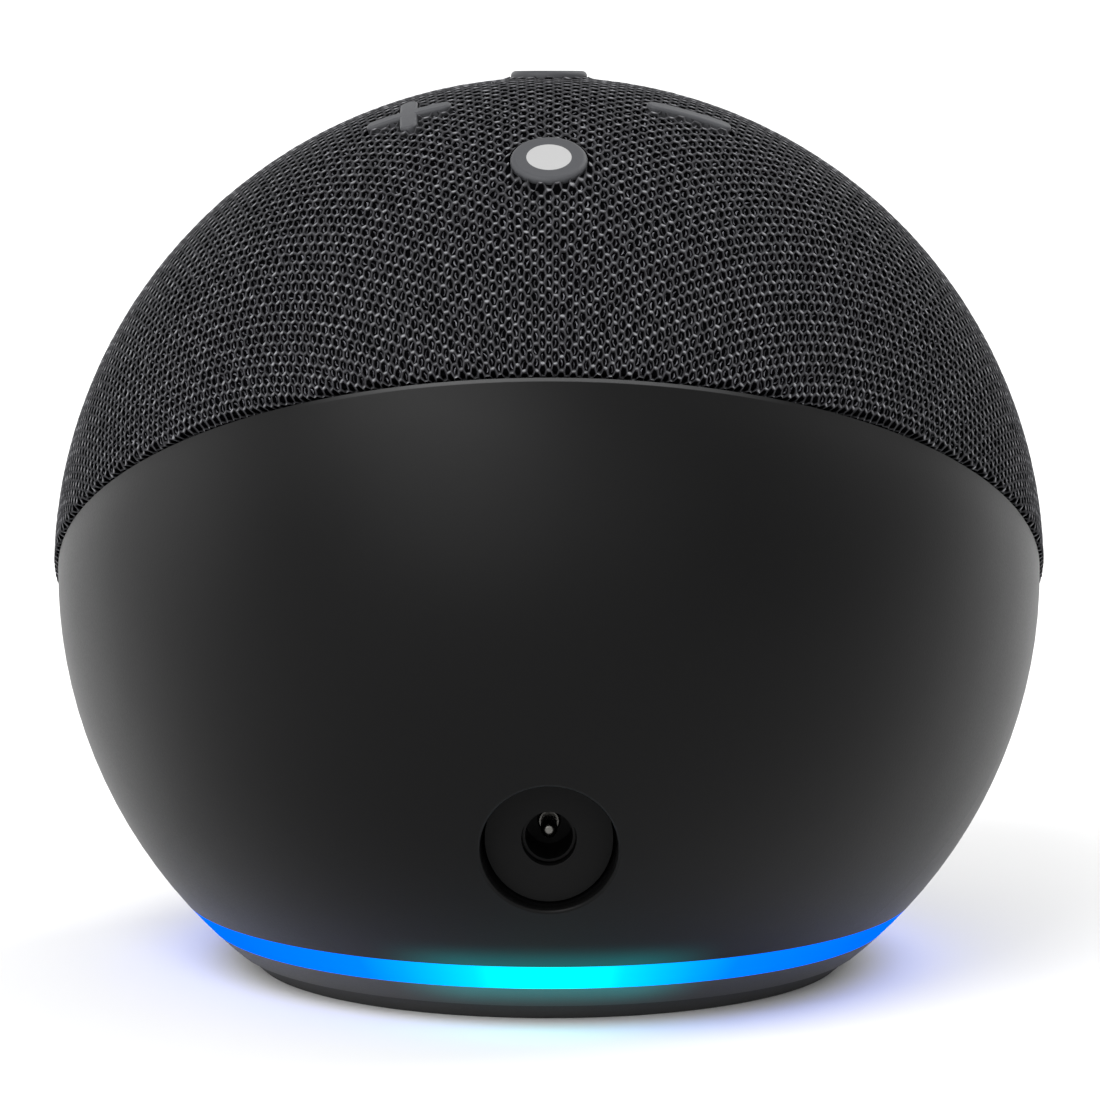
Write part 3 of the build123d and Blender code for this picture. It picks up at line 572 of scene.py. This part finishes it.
@dataclass(frozen=True)
class GlowingDiffuser(Finish):
    """Milky light guide, lit cyan at the back and blue round the rest."""

    body: Colour = (0.0, 0.03, 0.05)
    strength: float = 3.0
    turn: float = radians(60.0)
    glow: tuple[tuple[float, Colour], ...] = (
        (0.0, (0.0, 0.56, 0.62)),
        (0.1, (0.0, 0.43, 0.64)),
        (0.2, (0.0, 0.265, 0.62)),
        (0.3, (0.0, 0.19, 0.6)),
        (0.4, (0.0, 0.128, 0.56)),
        (0.52, (0.0, 0.076, 0.54)),
        (0.67, (0.0, 0.066, 0.52)),
        (1.0, (0.0, 0.052, 0.5)),
    )
    dark: float = 0.9
    light: float = 1.1
    cloud: float = 1.2 * MM
    grain: float = 0.3 * MM
    roughness: float = 0.55
    gloss_spread: float = 0.1
    depth: float = 0.003 * MM

    def paint(self, graph: Graph) -> None:
        """Glow colour by the turn from the back, with a slight cloudiness.

        Args:
            graph: the material's graph.
        """
        turned = {"Fac": graph.turn_from_back() / self.turn}
        ramp = graph.node("ShaderNodeValToRGB", {"stops": self.glow}, turned, "Color")
        cloud = graph.noise(self.cloud, detail=3.0)
        graph.surface(
            {
                "Base Color": graph.shades(cloud, self.body, self.dark, self.light),
                "Roughness": cloud.about(self.roughness, self.gloss_spread),
                "Specular IOR Level": 0.0,
                "Emission Color": ramp,
                "Emission Strength": self.strength,
                "Normal": graph.bump(graph.noise(self.grain), self.depth),
            }
        )


@dataclass(frozen=True)
class KnitYarn(Finish):
    """Polyester yarn with painted light: painted shade down the flanks towards the openings, a lit colour on
    the strands' crests and a painted highlight at the knots.
    """

    shadow: Colour = (0.008, 0.008, 0.0087)
    strand: Colour = (0.044, 0.044, 0.0477)
    knot_highlight: Colour = (0.26, 0.26, 0.273)
    strand_dark: float = 0.7
    strand_light: float = 1.25
    filament: float = 0.06
    patch: float = 0.55
    patch_edge: tuple[float, float] = (0.3, 0.75)
    knot_highlight_edge: tuple[float, float] = (0.35, 1.0)
    dull_knot_highlight: float = 0.1
    crest_edge: tuple[float, float] = (0.15, 1.0)
    crest_least: float = 0.7
    crest_spread: float = 0.6
    roughness: float = 0.7
    gloss_spread: float = 0.3
    specular: float = 0.03
    depth: float = 0.05 * MM

    def paint(self, graph: Graph) -> None:
        """Colour by the yarn's height, as painted shade on the flanks, and by its place in the net's cell, as
        a painted highlight at the knots, with filaments and patches.

        In cell units the openings lie where cos(2 pi u) cos(2 pi v) is 1, and the knots where it is -1.

        Args:
            graph: the material's graph.
        """
        flat = graph.cloth_places()
        wave = (flat.part("X") * (2 * pi)).cosine() * (flat.part("Y") * (2 * pi)).cosine()
        filament = graph.noise(self.filament, at=flat)
        patch = graph.noise(self.patch, 1.0, flat).between(*self.patch_edge)
        # painted highlight at the knots, dimmed in patches
        knot_highlight = (-wave).between(*self.knot_highlight_edge) * (self.dull_knot_highlight + (1.0 - self.dull_knot_highlight) * patch)
        strand = graph.shades(patch, self.strand, self.strand_dark, self.strand_light)
        lit = graph.mix(knot_highlight, strand, self.knot_highlight)
        bright = self.crest_least + self.crest_spread * filament
        # painted shade: the flanks below the crest take the shadow colour
        crest = graph.yarn_height().between(*self.crest_edge) * bright
        graph.surface(
            {
                "Base Color": graph.mix(crest, self.shadow, lit),
                "Roughness": filament.about(self.roughness, self.gloss_spread),
                "Specular IOR Level": self.specular,
                "Normal": graph.bump(filament, self.depth),
            }
        )


@dataclass(frozen=True)
class LoopYarn(Finish):
    """Thin dark yarn of the knit's inner face, where some loops are paler than others."""

    ground: Colour = (0.0012, 0.0012, 0.0014)
    dark: Colour = (0.014, 0.014, 0.0155)
    pale: Colour = (0.15, 0.15, 0.165)
    filament: float = 0.05
    patch: float = 0.45
    patch_edge: tuple[float, float] = (0.35, 0.8)
    least: float = 0.4
    roughness: float = 0.75
    gloss_spread: float = 0.2
    depth: float = 0.03 * MM

    def paint(self, graph: Graph) -> None:
        """A dark ground, with loops of patchy brightness and fine filaments.

        Args:
            graph: the material's graph.
        """
        flat = graph.cloth_places()
        filament = graph.noise(self.filament, at=flat)
        patch = graph.noise(self.patch, 1.0, flat).between(*self.patch_edge)
        loop = graph.mix(patch * (self.least + filament), self.dark, self.pale)
        graph.surface(
            {
                "Base Color": graph.mix(graph.yarn_height(), self.ground, loop),
                "Roughness": filament.about(self.roughness, self.gloss_spread),
                "Specular IOR Level": 0.0,
                "Normal": graph.bump(filament, self.depth),
            }
        )


# Knit dome
class Outline(Enum):
    """Outline of a top button."""

    DISC = "disc"
    BAR = "bar"
    CROSS = "cross"


@dataclass(frozen=True)
class ButtonPlace:
    """Where a button comes through the dome, by angles from the apex, and its outline."""

    lean: float
    spread: float
    outline: Outline
    disc_radius: float = 3.85 * MM
    bar_half: float = 3.5 * MM
    bar_radius: float = 0.9 * MM
    climb: float = 0.2 * MM

    def axes(self) -> tuple[Array, Array, Array]:
        """The button's own axes.

        Returns:
            Unit vectors across, towards the front and outwards.
        """
        lean, side = radians(self.lean), radians(self.spread)
        normal = np.array([sin(side), -sin(lean) * cos(side), cos(lean) * cos(side)])
        across = np.array([cos(side), sin(lean) * sin(side), -cos(lean) * sin(side)])
        return across, np.cross(normal, across), normal

    def gap(self, x: Array, y: Array) -> tuple[Array, Array, Array]:
        """Signed distance to the outline, and its direction.

        A disc's distance is the radius from its middle less its own. A bar's is the distance to its middle
        line less its half width. A cross takes the nearer of two bars.

        Args:
            x: places across the button.
            y: places towards the front.

        Returns:
            Distance, and the two parts of the unit vector away from the outline.
        """
        if self.outline is Outline.DISC:
            return self._from_line(x, y, 0.0, self.disc_radius)
        flat = self._from_line(x, y, self.bar_half, self.bar_radius)
        if self.outline is Outline.BAR:
            return flat
        tall = self._from_line(y, x, self.bar_half, self.bar_radius)
        nearer = flat[0] < tall[0]
        return (
            np.where(nearer, flat[0], tall[0]),
            np.where(nearer, flat[1], tall[2]),
            np.where(nearer, flat[2], tall[1]),
        )

    @staticmethod
    def _from_line(along: Array, aside: Array, half: float, radius: float) -> tuple[Array, Array, Array]:
        """Distance to a line of a given half length, less a radius.

        Args:
            along: places along the line, from its middle.
            aside: places beside it.
            half: the line's half length.
            radius: what is taken off.

        Returns:
            Distance, and the parts of the unit vector away from the line, along and aside.
        """
        over = along - np.clip(along, -half, half)
        reach = np.hypot(over, aside)
        safe = np.maximum(reach, TINY)
        return reach - radius, over / safe, np.where(reach > TINY, aside / safe, 1.0)


BUTTON_PLACES = (
    ButtonPlace(8.0, -16.25, Outline.CROSS),
    ButtonPlace(8.0, 16.25, Outline.BAR),
    ButtonPlace(25.3, 0.0, Outline.DISC, climb=0.45 * MM),
    ButtonPlace(-9.0, 0.0, Outline.DISC),
)


@dataclass(frozen=True)
class DomeMap:
    """Lays a flat cloth over the dome, round its rim and under it.

    The cloth is laid azimuthally about the dome's pole: a point at flat radius r lies at the angle t from
    the pole where r = R (t + squeeze (t - squeeze_from)^3), the cubic part only past squeeze_from, because
    the rows crowd towards the rim. Past the rim the profile is a quarter circle, then a line inwards.
    """

    radius: float = 50.0 * MM
    seam_gap: float = 0.3 * MM
    roll: float = 0.45 * MM
    hem: float = 0.6 * MM
    squeeze: float = 0.219
    squeeze_from: float = radians(60.0)
    collar: float = 1.0 * MM
    button_cap: float = 40.0 * MM
    angle_samples: int = 600

    def rim_angle(self) -> float:
        """Angle from the pole at which the cloth starts to roll under the rim."""
        return float(np.arccos((self.seam_gap + self.roll) / self.radius))

    def flat_at(self, angle: Any) -> Any:
        """Flat radius at an angle from the pole."""
        return self.radius * (angle + self.squeeze * np.maximum(angle - self.squeeze_from, 0.0) ** 3)

    def reach(self) -> float:
        """Flat radius of the cloth."""
        return float(self.flat_at(self.rim_angle())) + self.roll * pi / 2 + self.hem

    def centre(self) -> Array:
        """The ball's centre."""
        return np.array([0.0, 0.0, BALL_CENTRE])

    def lay(self, u: Array, v: Array, rise: Array) -> Array:
        """Flat places laid on the ball.

        Args:
            u: flat places across.
            v: flat places towards the front.
            rise: height over the cloth's mean surface, along the profile's normal.

        Returns:
            Points, one row each.
        """
        flat = np.hypot(u, v)
        safe = np.maximum(flat, TINY)
        angles = np.linspace(0.0, self.rim_angle(), self.angle_samples)
        angle = np.interp(flat, self.flat_at(angles), angles)
        past = np.maximum(flat - self.flat_at(self.rim_angle()), 0.0)
        turn = np.minimum(past / self.roll, pi / 2)
        inward = np.maximum(past - self.roll * pi / 2, 0.0)
        rolled = past > 0
        out = np.where(
            rolled,
            self.radius - self.roll + (self.roll + rise) * np.cos(turn) - inward,
            (self.radius + rise) * np.sin(angle),
        )
        up = np.where(
            rolled,
            self.seam_gap + self.roll - (self.roll + rise) * np.sin(turn),
            (self.radius + rise) * np.cos(angle),
        )
        pole = np.array([0.0, sin(SEAM_TILT), cos(SEAM_TILT)])
        front = np.array([0.0, cos(SEAM_TILT), -sin(SEAM_TILT)])
        side = np.array([1.0, 0.0, 0.0])
        bearing = (u / safe)[:, None] * side + (v / safe)[:, None] * front
        return self.centre() + up[:, None] * pole + out[:, None] * bearing

    def off_buttons(self, points: Array, gap: float, rise: float = 1.0) -> tuple[Array, Array]:
        """Moves points off the buttons.

        A point nearer to an outline than the gap goes out to the gap. Near the outline the cloth also climbs
        the button's side, by the rise times the button's climb times (1 - d / collar)^2 at a distance d past
        the gap. Only points further out than button_cap along a button's own axis count as near it.

        Args:
            points: points on the dome.
            gap: least distance to a button.
            rise: the share of the button's climb that this layer of the cloth takes.

        Returns:
            The moved points, and for each 1 if a disc moved it, 2 if a narrower button did, or else 0.
        """
        moved = points.copy()
        mover = np.zeros(len(points), int)
        for place in BUTTON_PLACES:
            across, front, normal = place.axes()
            local = moved - self.centre()
            near = local @ normal > self.button_cap
            distance, away_x, away_y = place.gap(local @ across, local @ front)
            push = np.where(near, np.maximum(gap - distance, 0.0), 0.0)
            moved += (push * away_x)[:, None] * across + (push * away_y)[:, None] * front
            past = np.maximum(distance - gap, 0.0) / self.collar
            climb = np.where(near, rise * place.climb * np.maximum(1.0 - past, 0.0) ** 2, 0.0)
            moved += climb[:, None] * normal
            mover[push > 0] = 1 if place.outline is Outline.DISC else 2
        return moved, mover


@dataclass(frozen=True)
class KnitGrid:
    """Middles of the knit's openings on the flat cloth: columns, every other one half a row up."""

    column_pitch: float = 1.94 * MM
    row_pitch: float = 1.706 * MM

    def middles(self, reach: float) -> tuple[Array, Array, Array]:
        """Openings that cover a disc.

        Args:
            reach: the disc's radius.

        Returns:
            Column index and the two flat coordinates, each by column and row.
        """
        columns = int(2 * reach / self.column_pitch) + 3
        rows = int(reach / self.row_pitch) + 3
        column, row = np.meshgrid(np.arange(-columns, columns + 1), np.arange(-rows, rows + 1), indexing="ij")
        return column, column * self.column_pitch / 2, (row + (column % 2) / 2) * self.row_pitch

    def units(self, u: Array, v: Array) -> Array:
        """Flat places in cell units, one row each."""
        return np.stack([u / self.column_pitch, v / self.row_pitch], axis=1)


def trimmed(points: Array, quads: Array, flat: Array, yarn: Array) -> Cloth:
    """A cloth without the points that no face uses.

    Args:
        points: its points.
        quads: four point numbers for each face.
        flat: each point's place in cell units.
        yarn: each point's height on the yarn, from 0 to 1.

    Returns:
        The same four, with the points renumbered.
    """
    used, renumbered = np.unique(quads, return_inverse=True)
    return points[used], renumbered.reshape(-1, 4), flat[used], yarn[used]


def cloth_object(name: str, points: Array, quads: Array, flat: Array, yarn: Array) -> bpy.types.Object:
    """A smooth-shaded mesh with its flat map and yarn attribute.

    Args:
        name: the object's name.
        points: its points.
        quads: four point numbers for each face.
        flat: each point's place in cell units.
        yarn: each point's height on the yarn, from 0 to 1.

    Returns:
        The object, in the scene.
    """
    mesh = bpy.data.meshes.new(name)
    mesh.from_pydata(points, [], quads.tolist())
    mesh.polygons.foreach_set("use_smooth", np.ones(len(quads), bool))
    layer = mesh.uv_layers.new(name=FLAT_MAP)
    layer.uv.foreach_set("vector", flat[quads.ravel()].astype(np.float32).ravel())
    attribute = mesh.attributes.new(YARN_HEIGHT, "FLOAT", "POINT")
    attribute.data.foreach_set("value", yarn.astype(np.float32))
    mesh.update()
    piece = bpy.data.objects.new(name, mesh)
    bpy.context.scene.collection.objects.link(piece)
    log.info("%s: %d faces", name, len(quads))
    return piece


@dataclass
class KnitNet:
    """Outer face of the knit: a net of stretched hexagons with real openings."""

    name: str
    finish: Finish
    dome: DomeMap = DomeMap()
    grid: KnitGrid = KnitGrid()
    knot_half: float = 0.3 * MM
    opening_half_width: float = 0.44 * MM
    opening_top_half_width: float = 0.24 * MM
    opening_half_height: float = 0.56 * MM
    knot_rise: float = 0.03 * MM
    knot_scatter: float = 0.009 * MM
    rim_drop: float = 0.08 * MM
    tuck_gap: float = 0.15 * MM
    jitter: float = 0.05 * MM
    yarn_share: float = 0.49
    seed: int = 7

    def flat_places(self) -> tuple[Array, Array]:
        """Corners of the cells and of their openings, on the flat cloth.

        A cell's own corners are the right and the left one, on its row. Its opening is a hexagon with six
        corners, counted from the right one by way of the front.

        Returns:
            The two flat coordinates, first of all right corners, then of all left ones, then of the openings.
        """
        _, u, v = self.grid.middles(self.dome.reach())
        middle_u, middle_v = u.ravel(), v.ravel()
        side = self.grid.column_pitch / 2 - self.knot_half
        rim_x = np.array([1, 0, 0, -1, 0, 0]) * self.opening_half_width
        rim_x = rim_x + np.array([0, 1, -1, 0, -1, 1]) * self.opening_top_half_width
        rim_y = np.array([0, 1, 1, 0, -1, -1]) * self.opening_half_height
        flat_u = np.concatenate([middle_u + side, middle_u - side, (middle_u[:, None] + rim_x).ravel()])
        flat_v = np.concatenate([middle_v, middle_v, (middle_v[:, None] + rim_y).ravel()])
        return flat_u, flat_v

    def hexagons(self) -> Array:
        """Faces of the net.

        Each cell is a hexagon with its left and right corners on its row and two corners above and below,
        which are corners of the next columns' cells. Six quads run from them to the rim of the opening.

        Returns:
            Four point numbers for each face, in the order of flat_places.
        """
        column, u, v = self.grid.middles(self.dome.reach())
        shape, count = column.shape, column.size
        index = np.arange(count).reshape(shape)
        right, left = index, index + count
        inner = (slice(1, -1), slice(1, -1))
        col, level = (grid[inner] for grid in np.indices(shape))
        above = level + (column % 2)[inner]
        below = above - 1
        corners = np.stack(
            [
                right[inner],
                left[col + 1, above],
                right[col - 1, above],
                left[inner],
                right[col - 1, below],
                left[col + 1, below],
            ],
            axis=-1,
        ).reshape(-1, 6)
        rims = (2 * count + 6 * index[inner][..., None] + np.arange(6)).reshape(-1, 6)
        keep = np.hypot(u, v)[inner].ravel() < self.dome.reach()
        corners, rims = corners[keep], rims[keep]
        after = np.roll(np.arange(6), -1)
        return np.stack([corners, corners[:, after], rims[:, after], rims], axis=-1).reshape(-1, 4)

    def net(self) -> Cloth:
        """The net as a mesh, with the cells' corners on the crest of the yarn and the openings' rims deeper.

        Returns:
            Points, quads, flat places in cell units and the yarn's height at each point.
        """
        flat_u, flat_v = self.flat_places()
        units = self.grid.units(flat_u, flat_v)
        rng = np.random.default_rng(self.seed)
        flat_u = flat_u + rng.normal(0.0, self.jitter, flat_u.size)
        flat_v = flat_v + rng.normal(0.0, self.jitter, flat_v.size)
        # Two of a cell's eight points are on the crest, and they come first.
        crest = flat_u.size // 4
        rise = np.full(flat_u.size, -self.rim_drop)
        rise[:crest] = self.knot_rise + rng.normal(0.0, self.knot_scatter, crest)
        yarn = np.zeros(flat_u.size)
        yarn[:crest] = 1.0
        points = self.dome.lay(flat_u, flat_v, rise)
        points, mover = self.dome.off_buttons(points, self.tuck_gap)
        quads = self.hexagons()
        return trimmed(points, quads[~mover[quads].all(axis=1)], units, yarn)

    def build(self) -> bpy.types.Object:
        """The net as a Blender object with its yarn.

        Returns:
            The object, which dress still has to attach to the body.
        """
        piece = cloth_object(self.name, *self.net())
        piece.data.materials.append(self.finish.material(self.name))
        return piece

    def dress(self, piece: bpy.types.Object, loops: bpy.types.Object) -> None:
        """Args:
            piece: the net.
            loops: the knit's inner face; not used.
        """
        across = 2 * self.dome.reach()
        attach(piece, "body")
        pi / 4 * across**2 * self.yarn_share
        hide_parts("fabric_cover")


@dataclass
class KnitLoops:
    """Inner face of the knit: a close dark ground, with one thin bowed loop of yarn behind each opening."""

    name: str
    finish: Finish
    dome: DomeMap = DomeMap()
    grid: KnitGrid = KnitGrid()
    depth: float = 0.15 * MM
    half_height: float = 0.42 * MM
    half_width: float = 0.095 * MM
    bow: float = 0.14 * MM
    scatter: float = 0.07 * MM
    tilt_scatter: float = 0.25
    ground_depth: float = 0.22 * MM
    button_gap: float = 0.25 * MM
    steps: int = 6
    seed: int = 11

    def ground(self) -> Cloth:
        """The ground as a closed sheet, with one quad between each four neighbouring openings.

        Returns:
            Points, quads, flat places in cell units and the yarn's height at each point, which is 0.
        """
        _, u, v = self.grid.middles(self.dome.reach())
        index = np.arange(u.size).reshape(u.shape)
        quads = np.stack(
            [index[:-1, :-1], index[1:, :-1], index[1:, 1:], index[:-1, 1:]], axis=-1
        ).reshape(-1, 4)
        flat_u, flat_v = u.ravel(), v.ravel()
        covered = np.hypot(flat_u, flat_v) < self.dome.flat_at(self.dome.rim_angle())
        points = self.dome.lay(flat_u, flat_v, np.full(flat_u.size, -self.ground_depth))
        points, mover = self.dome.off_buttons(points, self.button_gap)
        under = mover[quads].all(axis=1) | (mover[quads] == 2).any(axis=1)
        quads = quads[covered[quads].all(axis=1) & ~under]
        return trimmed(points, quads, self.grid.units(flat_u, flat_v), np.zeros(len(points)))

    def strips(self) -> Cloth:
        """The loops as strips.

        Along a loop t runs from -1 to 1: its middle line is at (bow (1 - t^2), half_height t) from the
        opening's middle, bowed to a random side and tilted a little, and its half width narrows to its ends
        as 1 - t^2 / 2.

        Returns:
            Points, quads, flat places in cell units and the yarn's height at each point, which is 1.
        """
        _, u, v = self.grid.middles(self.dome.reach())
        keep = np.hypot(u, v) < self.dome.flat_at(self.dome.rim_angle())
        u, v = u[keep], v[keep]
        rng = np.random.default_rng(self.seed)
        side = rng.choice([-1.0, 1.0], u.size)[:, None]
        tilt = rng.normal(0.0, self.tilt_scatter, u.size)[:, None]
        t = np.linspace(-1.0, 1.0, self.steps)
        middle_u = u[:, None] + side * self.bow * (1 - t**2) + tilt * self.half_height * t
        middle_u = middle_u + rng.normal(0.0, self.scatter, u.size)[:, None]
        middle_v = v[:, None] + self.half_height * t + rng.normal(0.0, self.scatter, u.size)[:, None]
        width = self.half_width * (1 - t**2 / 2)
        flat_u = np.stack([middle_u - width, middle_u + width], axis=-1).ravel()
        flat_v = np.stack([middle_v, middle_v], axis=-1).ravel()
        points = self.dome.lay(flat_u, flat_v, np.full(flat_u.size, -self.depth))
        points, mover = self.dome.off_buttons(points, self.button_gap, 0.0)
        index = np.arange(flat_u.size).reshape(u.size, self.steps, 2)
        quads = np.stack(
            [index[:, :-1, 0], index[:, :-1, 1], index[:, 1:, 1], index[:, 1:, 0]], axis=-1
        ).reshape(-1, 4)
        quads = quads[~mover[quads].any(axis=1)]
        return trimmed(points, quads, self.grid.units(flat_u, flat_v), np.ones(len(points)))

    def build(self) -> bpy.types.Object:
        """The ground and loops as one Blender object with their yarn, riding on the body.

        Returns:
            The object.
        """
        ground, loops = self.ground(), self.strips()
        points, quads, flat, yarn = (np.concatenate(pair) for pair in zip(ground, loops))
        quads[len(ground[1]) :] += len(ground[0])
        piece = cloth_object(self.name, points, quads, flat, yarn)
        piece.data.materials.append(self.finish.material(self.name))
        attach(piece, "body")
        return piece


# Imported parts
SLOT_FINISHES: dict[str, Finish] = {
    "grille_plastic": Moulded((0.0012, 0.0012, 0.0015), 0.8, specular=0.0),
    # The housing gets a painted highlight along the seam's bevel.
    "housing_plastic": SeamedShell((0.0018, 0.0018, 0.0019), 0.42, mottle=0.05, specular=0.3, head_on=0.3),
    "light_diffuser": GlowingDiffuser(),
    # The base and the foot get a painted teal glow of the ring's light.
    "base_plastic": RingNeighbour((0.032, 0.032, 0.033), 0.45, painted_ring_glow=(0.0, 0.12, 0.125)),
    "foot_rubber": RingNeighbour((0.03, 0.03, 0.03), 0.75, 0.4 * MM, 0.015 * MM, painted_ring_glow=(0.0, 0.06, 0.065)),
    "button_plastic": Moulded((0.045, 0.046, 0.05), 0.55, mottle=0.04, specular=0.2),
    "dot_plastic": Moulded((0.31, 0.31, 0.31), 0.5, mottle=0.03),
    "screw_steel": Metal((0.55, 0.55, 0.54)),
    "plated_steel": Metal((0.62, 0.62, 0.6), 0.3),
    "frame_steel": Moulded((0.02, 0.02, 0.02), 0.4, grain=0.5 * MM, depth=0.02 * MM),
    "ferrite": Moulded((0.03, 0.03, 0.033), 0.6, grain=0.3 * MM, depth=0.02 * MM, mottle=0.2),
    "copper_wire": Metal((0.75, 0.36, 0.2), 0.3),
    "spider_cloth": WovenCloth(),
    "cone_paper": PressedPulp(),
    "seal_rubber": Moulded((0.02, 0.02, 0.02), 0.7, grain=0.35 * MM, depth=0.012 * MM),
    "thermal_rubber": Moulded((0.4, 0.45, 0.5), 0.8, grain=0.3 * MM, depth=0.02 * MM),
    "sink_aluminium": Metal((0.78, 0.78, 0.79), 0.4),
    "circuit_board": CircuitBoard(),
    "chip_plastic": Moulded((0.02, 0.02, 0.022), 0.55, grain=0.15 * MM),
    "socket_plastic": Moulded((0.7, 0.66, 0.56), 0.45),
    "ribbon_film": FlatCable(),
    "wire_jacket": Moulded((0.35, 0.02, 0.02), 0.4, grain=0.5 * MM),
    "enclosure_plastic": Moulded((0.03, 0.03, 0.03), 0.5),
    "jack_plastic": Moulded((0.002, 0.002, 0.002), 0.4, specular=0.1),
    "contact_metal": Metal((0.11, 0.107, 0.1), 0.25),
    "lamp_package": Moulded((0.85, 0.85, 0.78), 0.3),
}


@dataclass
class PackedParts:
    """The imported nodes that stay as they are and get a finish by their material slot."""

    finishes: Mapping[str, Finish]
    made: dict[str, bpy.types.Material] = field(default_factory=dict)

    def dress(self) -> None:
        """Puts each node's finish on its object."""
        for entry in frame["record"]["subparts"]:
            slot = entry["material_slot"]
            if slot not in self.finishes:
                continue
            if slot not in self.made:
                self.made[slot] = self.finishes[slot].material(slot)
            mesh = frame["nodes"][entry["node"]].data
            mesh.materials.clear()
            mesh.materials.append(self.made[slot])
            log.info("%s: %s", entry["node"], slot)


# Floor, light and camera
@dataclass(frozen=True)
class Lamp:
    """A soft rectangular lamp aimed at the ball."""

    name: str
    place: tuple[float, float, float]
    size: tuple[float, float]
    power: float

    def build(self, target: Vector) -> None:
        """Adds the lamp, unseen by the camera.

        Args:
            target: the point that it is aimed at.
        """
        data = bpy.data.lights.new(self.name, "AREA")
        data.shape = "RECTANGLE"
        data.size, data.size_y = self.size
        data.energy = self.power
        lamp = bpy.data.objects.new(self.name, data)
        lamp.location = self.place
        lamp.rotation_mode = "QUATERNION"
        lamp.rotation_quaternion = (target - lamp.location).to_track_quat("-Z", "Y")
        lamp.visible_camera = False
        bpy.context.scene.collection.objects.link(lamp)


@dataclass
class Studio:
    """White floor and backdrop, soft lamps and the camera behind the speaker."""

    aim_side: float = 0.104 * MM
    aim_lift: float = 2.265 * MM
    camera_distance: float = 1.5
    camera_elevation: float = radians(10.41)
    lens: float = 485.5
    sensor: float = 36.0
    sight: float = 100.0
    floor_half: float = 6.0
    floor_white: float = 0.79
    ambient: float = 0.62
    lamps: tuple[Lamp, ...] = (
        Lamp("key", (-0.8, -0.68, 1.07), (1.0, 1.0), 4.5),
        Lamp("key_strip", (-0.6, -0.75, 1.2), (1.3, 0.35), 12.5),
        Lamp("fill", (0.0, -1.6, 0.9), (2.0, 1.2), 9.0),
        Lamp("left_fill", (-0.8, -1.6, 0.9), (1.5, 1.2), 11.0),
        Lamp("back_fill", (0.8, 0.5, 1.1), (1.0, 1.0), 14.5),
        Lamp("left_rim", (-0.7, 1.0, 0.3), (0.8, 0.6), 2.2),
        Lamp("right_rim", (0.7, 1.0, 0.3), (0.8, 0.6), 1.8),
        Lamp("left_side", (-1.2, 0.1, 0.3), (0.8, 0.6), 2.2),
    )

    def build(self) -> None:
        """Builds the floor, world, lamps and camera."""
        self._floor()
        self._world()
        for lamp in self.lamps:
            lamp.build(Vector((0.0, 0.0, BALL_CENTRE)))
        self._camera()
        bpy.context.scene.view_settings.view_transform = "Standard"

    def _floor(self) -> None:
        """A large plain square that takes the shadow and the ring's glow."""
        half = self.floor_half
        mesh = bpy.data.meshes.new("floor")
        corners = [(-half, -half, 0.0), (half, -half, 0.0), (half, half, 0.0), (-half, half, 0.0)]
        mesh.from_pydata(corners, [], [(0, 1, 2, 3)])
        material = bpy.data.materials.new("floor")
        material.use_nodes = True
        graph = Graph(material.node_tree)
        graph.end(graph.node("ShaderNodeBsdfDiffuse", inputs={"Color": (self.floor_white,) * 3}))
        mesh.materials.append(material)
        floor = bpy.data.objects.new("floor", mesh)
        bpy.context.scene.collection.objects.link(floor)

    def _world(self) -> None:
        """White where it is seen, directly, mirrored or through a clear piece, and plain light elsewhere."""
        world = bpy.data.worlds.new("studio")
        world.use_nodes = True
        graph = Graph(world.node_tree)
        rays = [
            graph.node("ShaderNodeLightPath", output=f"Is {kind} Ray")
            for kind in ("Camera", "Glossy", "Transmission")
        ]
        strength = rays[0].or_larger(rays[1]).or_larger(rays[2]).or_larger(self.ambient)
        white = graph.node("ShaderNodeBackground", inputs={"Color": (1.0, 1.0, 1.0), "Strength": strength})
        graph.end(white, "ShaderNodeOutputWorld")
        bpy.context.scene.world = world

    def _camera(self) -> None:
        """Camera at the viewing angle, aimed so that the ball sits where it should in the frame."""
        data = bpy.data.cameras.new("camera")
        data.sensor_width = self.sensor
        data.lens = self.lens
        data.clip_end = self.sight
        camera = bpy.data.objects.new("camera", data)
        camera.location = (
            0.0,
            -self.camera_distance * cos(self.camera_elevation),
            BALL_CENTRE + self.camera_distance * sin(self.camera_elevation),
        )
        target = Vector((self.aim_side, 0.0, BALL_CENTRE + self.aim_lift))
        camera.rotation_mode = "QUATERNION"
        camera.rotation_quaternion = (target - camera.location).to_track_quat("-Z", "Y")
        bpy.context.scene.collection.objects.link(camera)
        bpy.context.scene.camera = camera


def main() -> None:
    """Builds the knit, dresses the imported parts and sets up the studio."""
    logging.basicConfig(level=logging.INFO)
    Studio().build()
    PackedParts(SLOT_FINISHES).dress()
    net = KnitNet("knit_cover", KnitYarn())
    cover = net.build()
    loops = KnitLoops("knit_loops", LoopYarn()).build()
    net.dress(cover, loops)


if __name__ == "__main__":
    main()
